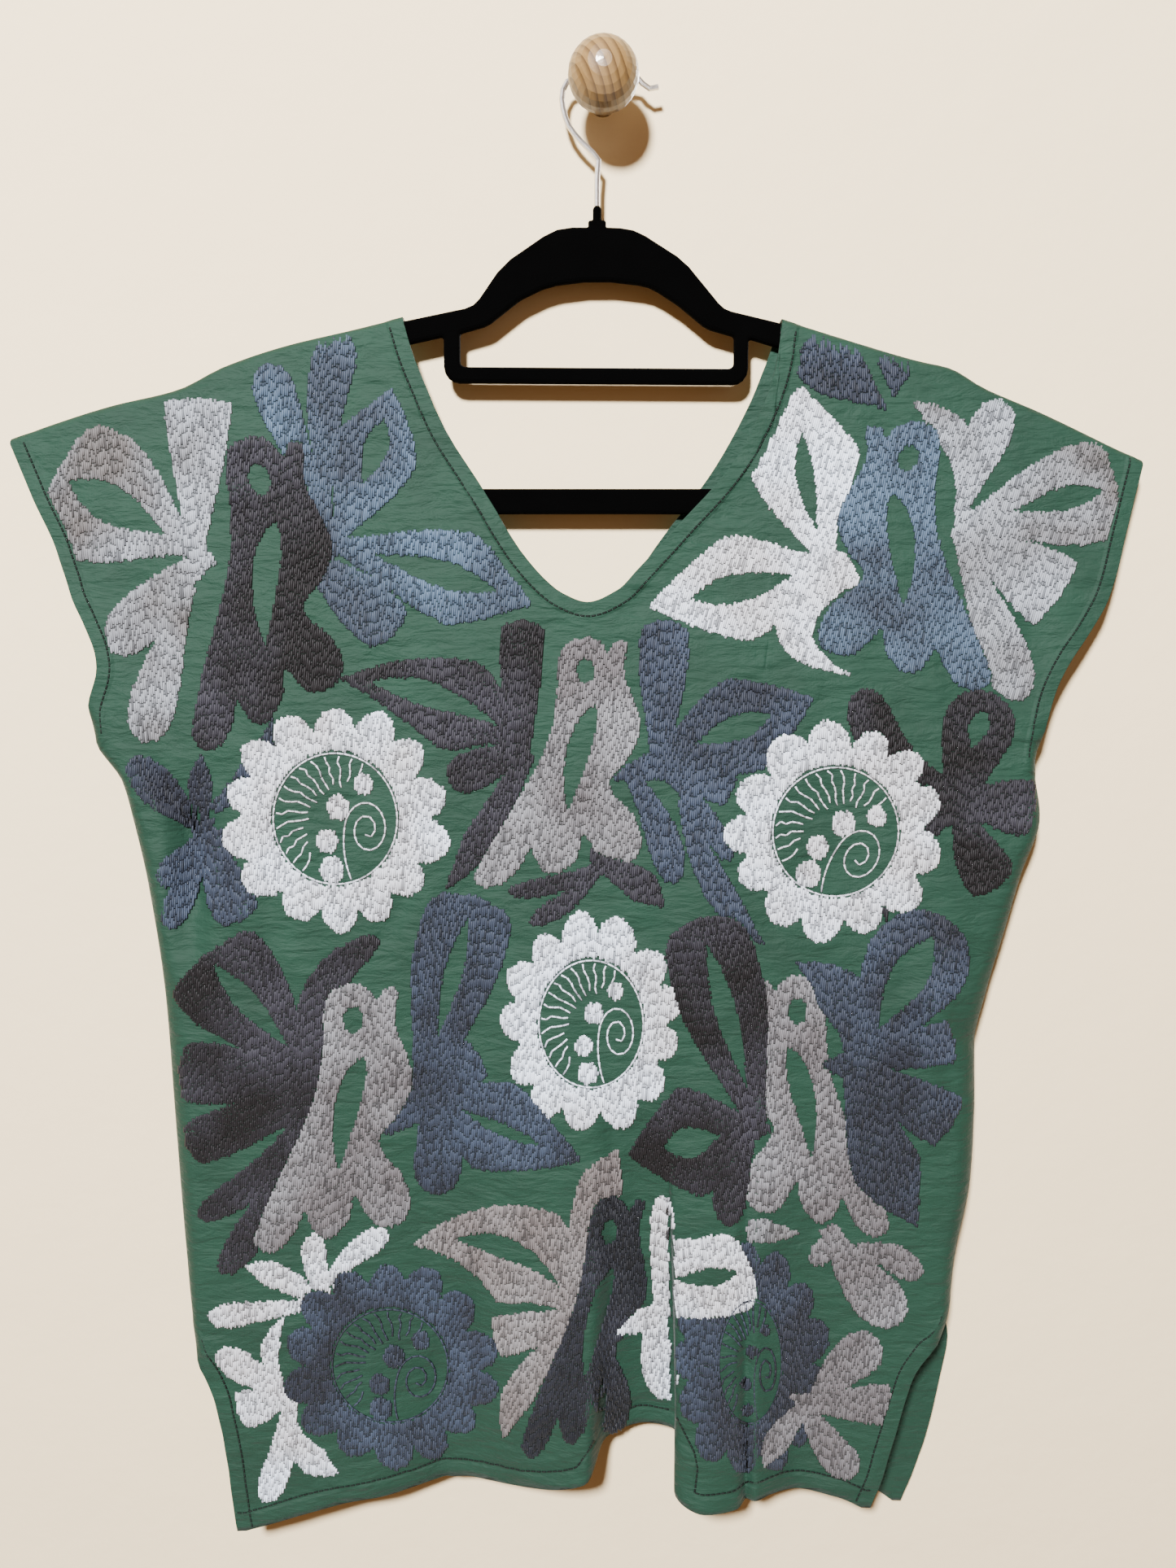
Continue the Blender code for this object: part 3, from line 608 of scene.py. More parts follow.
class Drawing:
    """The plane on which a panel's motifs are drawn, and how a drawn point lies on the hung cloth.

    The front's motifs are drawn as they are seen from the camera on the panel's flat depth, so that a fold
    moves them as it moves the cloth. The back's are drawn straight on.
    """

    CELL = 1.5
    # Into how many parts the panel's rows and columns are split, so that each cell gets a point.
    FINE = (5, 8)
    # A step in depth above this is a fold's edge and stays.
    JUMP = 0.7
    SPREADS = 12
    SOFTENINGS = 3
    SIGHT_ROUNDS = 4
    LAST_CELL = 1.001

    def __init__(self, panel: Panel, surface: Surface) -> None:
        """Lays the panel's outer face out on the drawing.

        Args:
            panel: The panel.
            surface: Its faces.
        """
        self.panel = panel
        self.from_camera = panel.side is Side.FRONT
        grid = surface.outer
        for axis in (0, 1):
            grid = self.finer(grid, axis, self.FINE[axis])
        drawn = self.to_drawn(grid.reshape(-1, 3))
        depth = grid.reshape(-1, 3)[:, 1]
        self.low = drawn.min(axis=0) - 2 * self.CELL
        cells = np.floor((drawn - self.low) / self.CELL).astype(int)
        self.shape = tuple(cells.max(axis=0) + 4)
        nearest = np.full(self.shape, np.inf)
        np.minimum.at(nearest, (cells[:, 0], cells[:, 1]), depth * -panel.side.value)
        nearest[np.isinf(nearest)] = np.nan
        self.inside = ~np.isnan(nearest)
        self.depth = self.softened(self.fill(nearest * -panel.side.value))
        self.slope_x, self.slope_z = np.gradient(self.depth, self.CELL)

    def finer(self, grid: np.ndarray, axis: int, parts: int) -> np.ndarray:
        """Splits each step of a grid of points evenly.

        Args:
            grid: Points as rows by columns.
            axis: Which way to split.
            parts: Into how many parts.

        Returns:
            The finer grid.
        """
        count = grid.shape[axis]
        at = np.linspace(0, count - 1, (count - 1) * parts + 1)
        low = np.minimum(at.astype(int), count - 2)
        share = (at - low).reshape([-1 if k == axis else 1 for k in range(3)])
        return np.take(grid, low, axis) * (1 - share) + np.take(grid, low + 1, axis) * share

    def fill(self, values: np.ndarray) -> np.ndarray:
        """Spreads the values over the empty cells beside them.

        Args:
            values: The grid with gaps.

        Returns:
            The grid without gaps.
        """
        values = values.copy()
        for _ in range(self.SPREADS):
            empty = np.isnan(values)
            if not empty.any():
                break
            stack = np.stack([np.roll(values, shift, axis) for axis in (0, 1) for shift in (-1, 1)])
            known = ~np.isnan(stack)
            mean = np.where(known, stack, 0).sum(axis=0) / np.maximum(known.sum(axis=0), 1)
            values = np.where(empty & known.any(axis=0), mean, values)
        return np.where(np.isnan(values), np.nanmean(values), values)

    def softened(self, values: np.ndarray) -> np.ndarray:
        """Takes the cells' small steps out of the depths and keeps the folds' jumps.

        Args:
            values: The grid of depths.

        Returns:
            The softened grid.
        """
        soft = values
        for _ in range(self.SOFTENINGS):
            for axis in (0, 1):
                soft = (np.roll(soft, 1, axis) + 2 * soft + np.roll(soft, -1, axis)) / 4
        return np.where(np.abs(soft - values) < self.JUMP, soft, values)

    def flat_depth(self, z: np.ndarray) -> np.ndarray:
        """Reads the depth of the drawing's plane at each height."""
        return smooth(self.panel.depth["z"], self.panel.depth["y"], z) + self.panel.side.value * HALF_WALL

    def to_drawn(self, points: np.ndarray) -> np.ndarray:
        """Finds where points of the hung cloth lie on the drawing.

        Args:
            points: Rows of x, y, z.

        Returns:
            Rows of drawn x and z.
        """
        if not self.from_camera:
            return points[:, [0, 2]]
        eye_x, eye_y, eye_z = CAMERA_PLACE
        z = points[:, 2]
        for _ in range(self.SIGHT_ROUNDS):
            share = (self.flat_depth(z) - eye_y) / (points[:, 1] - eye_y)
            z = eye_z + (points[:, 2] - eye_z) * share
        return np.stack([eye_x + (points[:, 0] - eye_x) * share, z], axis=-1)

    def read(self, values: np.ndarray, drawn: np.ndarray) -> np.ndarray:
        """Reads a grid between its cells' middles.

        Args:
            values: One of the drawing's grids.
            drawn: Rows of drawn x and z.

        Returns:
            The value at each row.
        """
        at = (drawn - self.low) / self.CELL - 0.5
        at = np.clip(at, 0, np.array(self.shape) - self.LAST_CELL)
        low = at.astype(int)
        u, v = (at - low).T
        i, k = low.T
        return (
            values[i, k] * (1 - u) * (1 - v)
            + values[i + 1, k] * u * (1 - v)
            + values[i, k + 1] * (1 - u) * v
            + values[i + 1, k + 1] * u * v
        )

    def on_cloth(self, drawn: np.ndarray, lift: np.ndarray) -> np.ndarray:
        """Puts drawn points on the hung cloth.

        Args:
            drawn: Rows of drawn x and z.
            lift: How far each stands off the cloth.

        Returns:
            Rows of x, y, z.
        """
        y = self.read(self.depth, drawn)
        x, z = drawn.T
        if self.from_camera:
            eye_x, eye_y, eye_z = CAMERA_PLACE
            share = (y - eye_y) / (self.flat_depth(z) - eye_y)
            x = eye_x + (x - eye_x) * share
            z = eye_z + (z - eye_z) * share
        slope_x, slope_z = self.read(self.slope_x, drawn), self.read(self.slope_z, drawn)
        normal = np.stack([-slope_x, np.ones(len(x)), -slope_z], axis=-1)
        normal /= np.linalg.norm(normal, axis=-1, keepdims=True)
        return np.stack([x, y, z], axis=-1) + self.panel.side.value * lift[:, None] * normal


class Thread(Enum):
    """The embroidery threads and the one for sewing."""

    WHITE = "white"
    PEARL = "pearl"
    GREY = "grey"
    TAUPE = "taupe"
    BLUE = "blue"
    SLATE = "slate"
    PLUM = "plum"
    DARK = "dark"
    SEWING = "sewing"


def bent_line(start: tuple[float, float], end: tuple[float, float], bend: float, count: int) -> np.ndarray:
    """Draws a line that bows to its left.

    Args:
        start: Its first point.
        end: Its last.
        bend: How far it bows.
        count: How many points.

    Returns:
        The points.
    """
    start, end = np.array(start, float), np.array(end, float)
    run = end - start
    across = np.array([-run[1], run[0]]) / np.linalg.norm(run)
    middle = (start + end) / 2 + across * bend * 2
    t = np.linspace(0, 1, count)[:, None]
    return start * (1 - t) ** 2 + 2 * middle * t * (1 - t) + end * t**2


def across_run(run: np.ndarray) -> np.ndarray:
    """Turns rows of run to unit rows that point to their left."""
    return np.stack([-run[:, 1], run[:, 0]], axis=-1) / np.linalg.norm(run, axis=1, keepdims=True)


def outline_about(line: np.ndarray, half_width: np.ndarray) -> np.ndarray:
    """Draws a closed outline at both sides of a line.

    Args:
        line: The line's points.
        half_width: How far the outline is from each.

    Returns:
        The outline's points.
    """
    out = across_run(np.gradient(line, axis=0)) * half_width[:, None]
    return np.concatenate([line + out, (line - out)[::-1]])


class Tip(Enum):
    """How a leaf ends."""

    POINTED = 1.3
    ROUND = 2.2
    BLUNT = 6.0


@dataclass(frozen=True)
class Leaf:
    """A leaf that widens from its stem, with or without an open slit.

    Attributes:
        base: Where it leaves the stem.
        end: Its tip.
        width: Its greatest width.
        full: Where that is, as a share of its length.
        tip: How it ends.
        bend: How far it bows to its left.
        stem: Its width at the base.
        slit: The open slit's start and end as shares of the length, and its width.
    """

    base: tuple[float, float]
    end: tuple[float, float]
    width: float
    full: float = 0.7
    tip: Tip = Tip.ROUND
    bend: float = 0.0
    stem: float = 5.0
    slit: tuple[float, float, float] | None = None

    POINTS = 36
    SLIT_STEPS = 60
    SWELL = 1.6
    FULLNESS = 1.2
    ROUND_END = 0.5
    SLIT_LEAN = 1.25
    SLIT_ROUND = 0.85

    def outline(self) -> np.ndarray:
        """Draws the leaf's edge.

        Returns:
            Rows of drawn x and z.
        """
        s = np.linspace(0, 1, self.POINTS)
        foot = self.stem / self.width
        rise = np.clip(s / self.full, 0, 1)
        rise = foot + (1 - foot) * rise**self.SWELL * (1 + self.FULLNESS - self.FULLNESS * rise)
        ended = np.clip((s - self.full) / (1 - self.full), 0, 1) ** self.tip.value
        power = 1.0 if self.tip is Tip.POINTED else self.ROUND_END
        line = bent_line(self.base, self.end, self.bend, self.POINTS)
        return outline_about(line, self.width / 2 * rise * (1 - ended) ** power)

    def openings(self) -> list[np.ndarray]:
        """Draws the slit's edge.

        Returns:
            The slit's points, or nothing where the leaf has none.
        """
        if self.slit is None:
            return []
        start, end, width = self.slit
        line = bent_line(self.base, self.end, self.bend, self.SLIT_STEPS + 1)
        line = line[round(start * self.SLIT_STEPS) : round(end * self.SLIT_STEPS) + 1]
        s = np.linspace(0, 1, len(line))
        return [outline_about(line, width / 2 * np.sin(np.pi * s**self.SLIT_LEAN) ** self.SLIT_ROUND)]


@dataclass(frozen=True)
class Bird:
    """A bird that stands upright with its head turned up and its tail spread in lobes.

    Attributes:
        eye: Where its eye is.
        high: Its height from beak to tail.
        faces: 1 where its beak is to the right, -1 to the left.
        breast: The width of its head and breast against the height's scale.
        spread: The width of its tail against that scale.
        lean: How far its tail swings under its breast, as a share of the height.
        rise: How far the tail's lobes under the breast are lifted, as a share of the height.
    """

    eye: tuple[float, float]
    high: float
    faces: int
    breast: float = 1.0
    spread: float = 1.0
    lean: float = 0.0
    rise: float = 0.0

    # The edge in hundredths of the height: across from the eye, and up from the tail.
    EDGE = (
        (16.5, 97), (15.5, 90), (15.5, 84), (18.8, 75.5), (21.8, 65), (20, 57), (15.8, 50), (9.5, 42.4),
        (12, 36), (18.8, 29), (22.5, 19), (20.5, 12), (15.8, 9.5), (10, 9.5), (5, 13), (-0.8, 21), (-3, 13),
        (-7, 8), (-12, 5), (-17, 6.5), (-20, 11), (-22, 15), (-27, 7), (-33, 1.5), (-40, -0.5), (-44.5, 3),
        (-43, 8), (-36, 20), (-27, 35), (-19.5, 48), (-13.5, 63), (-11.3, 77.7), (-10.8, 89), (-8, 96.5),
        (0.5, 99.5), (6.5, 97), (9, 93.5), (12, 97.5),
    )  # fmt: skip
    EYE_UP = 86.0
    BREAST_UP = 66.0
    EYE_HALF = (3.8, 4.8)
    SLIT = ((3.8, 72.5), (-7.0, 30.0), 9.5)
    SLIT_BEND = -2.0
    SLIT_LEAN = 0.75
    SLIT_ROUND = 0.8
    # Across which places of the tail the lift of its lobes grows to the full rise.
    LIFT_FROM = -25.0
    LIFT_WIDE = 45.0

    def place(self, points: np.ndarray) -> np.ndarray:
        """Moves points of the bird's own frame to its place on the drawing.

        Args:
            points: Rows of across and up, in hundredths of the height.

        Returns:
            Rows of drawn x and z.
        """
        unit = self.high / 100
        down = np.clip((self.BREAST_UP - points[:, 1]) / self.BREAST_UP, 0, 1)
        wide = self.breast + (self.spread - self.breast) * down
        swing = self.lean * (self.EYE_UP - points[:, 1])
        x = self.eye[0] + self.faces * (points[:, 0] * wide + swing) * unit
        share = np.clip((points[:, 0] - self.LIFT_FROM) / self.LIFT_WIDE, 0, 1)
        lifted = points[:, 1] + 100 * self.rise * down * share
        return np.stack([x, self.eye[1] + (lifted - self.EYE_UP) * unit], axis=-1)

    def outline(self) -> np.ndarray:
        """Draws the bird's edge, rounded between its points.

        Returns:
            Rows of drawn x and z.
        """
        edge = np.array(self.EDGE, float)
        before, after, beyond = np.roll(edge, 1, 0), np.roll(edge, -1, 0), np.roll(edge, -2, 0)
        t = np.linspace(0, 1, 5, endpoint=False)[None, :, None]
        a, b, c, d = (part[:, None, :] for part in (before, edge, after, beyond))
        square, cube = 2 * a - 5 * b + 4 * c - d, 3 * b - a - 3 * c + d
        rounded = 0.5 * (2 * b + (c - a) * t + square * t**2 + cube * t**3)
        return self.place(rounded.reshape(-1, 2))

    def openings(self) -> list[np.ndarray]:
        """Draws the eye and the long slit in its body.

        Returns:
            Each opening's points.
        """
        angle = np.linspace(0, 2 * math.pi, 20, endpoint=False)
        wide, tall = self.EYE_HALF
        eye = np.stack([wide * np.cos(angle), self.EYE_UP + tall * np.sin(angle)], axis=-1)
        top, bottom, width = self.SLIT
        s = np.linspace(0, 1, 24)
        half = width / 2 * np.sin(np.pi * s**self.SLIT_LEAN) ** self.SLIT_ROUND
        slit = outline_about(bent_line(top, bottom, self.SLIT_BEND, len(s)), half)
        return [self.place(eye), self.place(slit)]


@dataclass(frozen=True)
class Flower:
    """A ring of round petals about an open disc that fine stitches fill.

    Attributes:
        centre: Its middle.
        outer: The ring's greatest half width and half height.
        disc: The disc's half width and half height.
        petals: How many.
        start: The first petal's turn in degrees.
    """

    centre: tuple[float, float]
    outer: tuple[float, float]
    disc: tuple[float, float]
    petals: int = 12
    start: float = 0.0

    # How deep the notches between petals are, and how round the petals.
    NOTCH = 0.23
    PETAL_ROUND = 0.55
    # The rays: how many, in which arc, how far out and in they reach, and how much they differ.
    RAYS = 15
    RAY_FROM = 62.0
    RAY_TO = 238.0
    RAY_OUTER = 0.93
    RAY_INNER = 0.60
    RAY_ARCH = 0.20
    RAY_UNEVEN = 0.04
    RAY_WAVE = 0.035
    RAY_BOW = 0.30
    CIRCLE = 0.97
    # Each dot's place and size, in shares of the disc's half width, in a bent row from foot to shoulder.
    DOTS = ((-0.06, -0.76, 0.19), (-0.13, -0.34, 0.17), (0.05, 0.16, 0.18), (0.45, 0.50, 0.15))
    DOT_TALL = 1.15
    # The curl: its middle, its turns, its radius and how much of that it loses, and its stalk's foot.
    CURL_AT = (0.50, -0.16)
    CURL_TURNS = 1.85
    CURL_OUTER = 0.36
    CURL_LOSS = 0.29
    CURL_TALL = 1.25
    STALK_FOOT = (0.24, -0.90)
    STALK_BEND = 0.05

    def ring(
        self, half: tuple[float, float], angle: np.ndarray, share: np.ndarray | float = 1.0
    ) -> np.ndarray:
        """Places points round the flower.

        Args:
            half: Half width and half height.
            angle: The points' turns in radians.
            share: How far out each is.

        Returns:
            Rows of drawn x and z.
        """
        x = self.centre[0] + half[0] * share * np.cos(angle)
        return np.stack([x, self.centre[1] + half[1] * share * np.sin(angle)], axis=-1)

    def in_disc(self, points: np.ndarray) -> np.ndarray:
        """Turns points of the disc's own frame by the flower's start and places them.

        Args:
            points: Rows of across and up, in shares of the disc's half width and half height.

        Returns:
            Rows of drawn x and z.
        """
        turned = math.radians(self.start)
        across = points[:, 0] * math.cos(turned) - points[:, 1] * math.sin(turned)
        up = points[:, 0] * math.sin(turned) + points[:, 1] * math.cos(turned)
        return np.stack([self.centre[0] + self.disc[0] * across, self.centre[1] + self.disc[1] * up], axis=-1)

    def outline(self) -> np.ndarray:
        """Draws the petals' edge, each petal a little unlike the next.

        Returns:
            Rows of drawn x and z.
        """
        angle = np.linspace(0, 2 * math.pi, 16 * self.petals, endpoint=False)
        uneven = 0.5 * np.sin(2 * angle + self.centre[0]) + 0.35 * np.sin(3 * angle + self.centre[1])
        wave = np.abs(np.sin((self.petals * angle + uneven) / 2))
        size = 1 + 0.03 * np.sin(5 * angle + self.centre[0])
        return self.ring(self.outer, angle, size * (1 - self.NOTCH * (1 - wave**self.PETAL_ROUND)))

    def openings(self) -> list[np.ndarray]:
        """Draws the disc's edge."""
        return [self.ring(self.disc, np.linspace(0, 2 * math.pi, 48, endpoint=False))]

    def dots(self) -> list[np.ndarray]:
        """Draws the filled dots between the rays and the curl.

        Returns:
            Each dot's points.
        """
        angle = np.linspace(0, 2 * math.pi, 16, endpoint=False)
        circle = np.stack([np.cos(angle), self.DOT_TALL * np.sin(angle)], axis=-1)
        return [
            self.in_disc(np.array([[across, up]])) + half * self.disc[0] * circle
            for across, up, half in self.DOTS
        ]

    def fine_lines(self) -> list[np.ndarray]:
        """Draws the disc's circle, rays and curl as lines for fine stitches.

        Returns:
            Each line's points.
        """
        lines = [self.ring(self.disc, np.linspace(0, 2 * math.pi, 90), self.CIRCLE)]
        for k in range(self.RAYS):
            along = k / (self.RAYS - 1)
            angle = math.radians(self.RAY_FROM + (self.RAY_TO - self.RAY_FROM) * along)
            inner = self.RAY_INNER - self.RAY_ARCH * math.sin(math.pi * along)
            reach = np.linspace(self.RAY_OUTER, inner + self.RAY_UNEVEN * math.sin(2.4 * k), 16)
            sway = angle + self.RAY_WAVE * np.sin(reach * 44 + k) - self.RAY_BOW * (self.RAY_OUTER - reach)
            lines.append(self.in_disc(np.stack([reach * np.cos(sway), reach * np.sin(sway)], axis=-1)))
        s = np.linspace(0, 1, 90)
        spin = math.pi - 2 * math.pi * self.CURL_TURNS * s
        radius = self.CURL_OUTER - self.CURL_LOSS * s
        turns = np.stack([radius * np.cos(spin), self.CURL_TALL * radius * np.sin(spin)], axis=-1)
        curl = np.array(self.CURL_AT) + turns
        stalk = bent_line(self.STALK_FOOT, (float(curl[0, 0]), float(curl[0, 1])), self.STALK_BEND, 14)
        lines.append(self.in_disc(np.concatenate([stalk[:-1], curl])))
        return lines


class Motif(NamedTuple):
    """A shape with the thread and the slant, in degrees from upright, of its stitches."""

    thread: Thread
    slant: float
    shape: Leaf | Bird | Flower


SLANT_LEFT = -4.0
SLANT_UPRIGHT = 4.0
SLANT_RIGHT = 15.0


def sewn(thread: Thread, *shapes: Leaf | Bird | Flower, slant: float = SLANT_UPRIGHT) -> list[Motif]:
    """Gives the shapes of one spray, a bird or a flower their thread and slant."""
    return [Motif(thread, slant, shape) for shape in shapes]


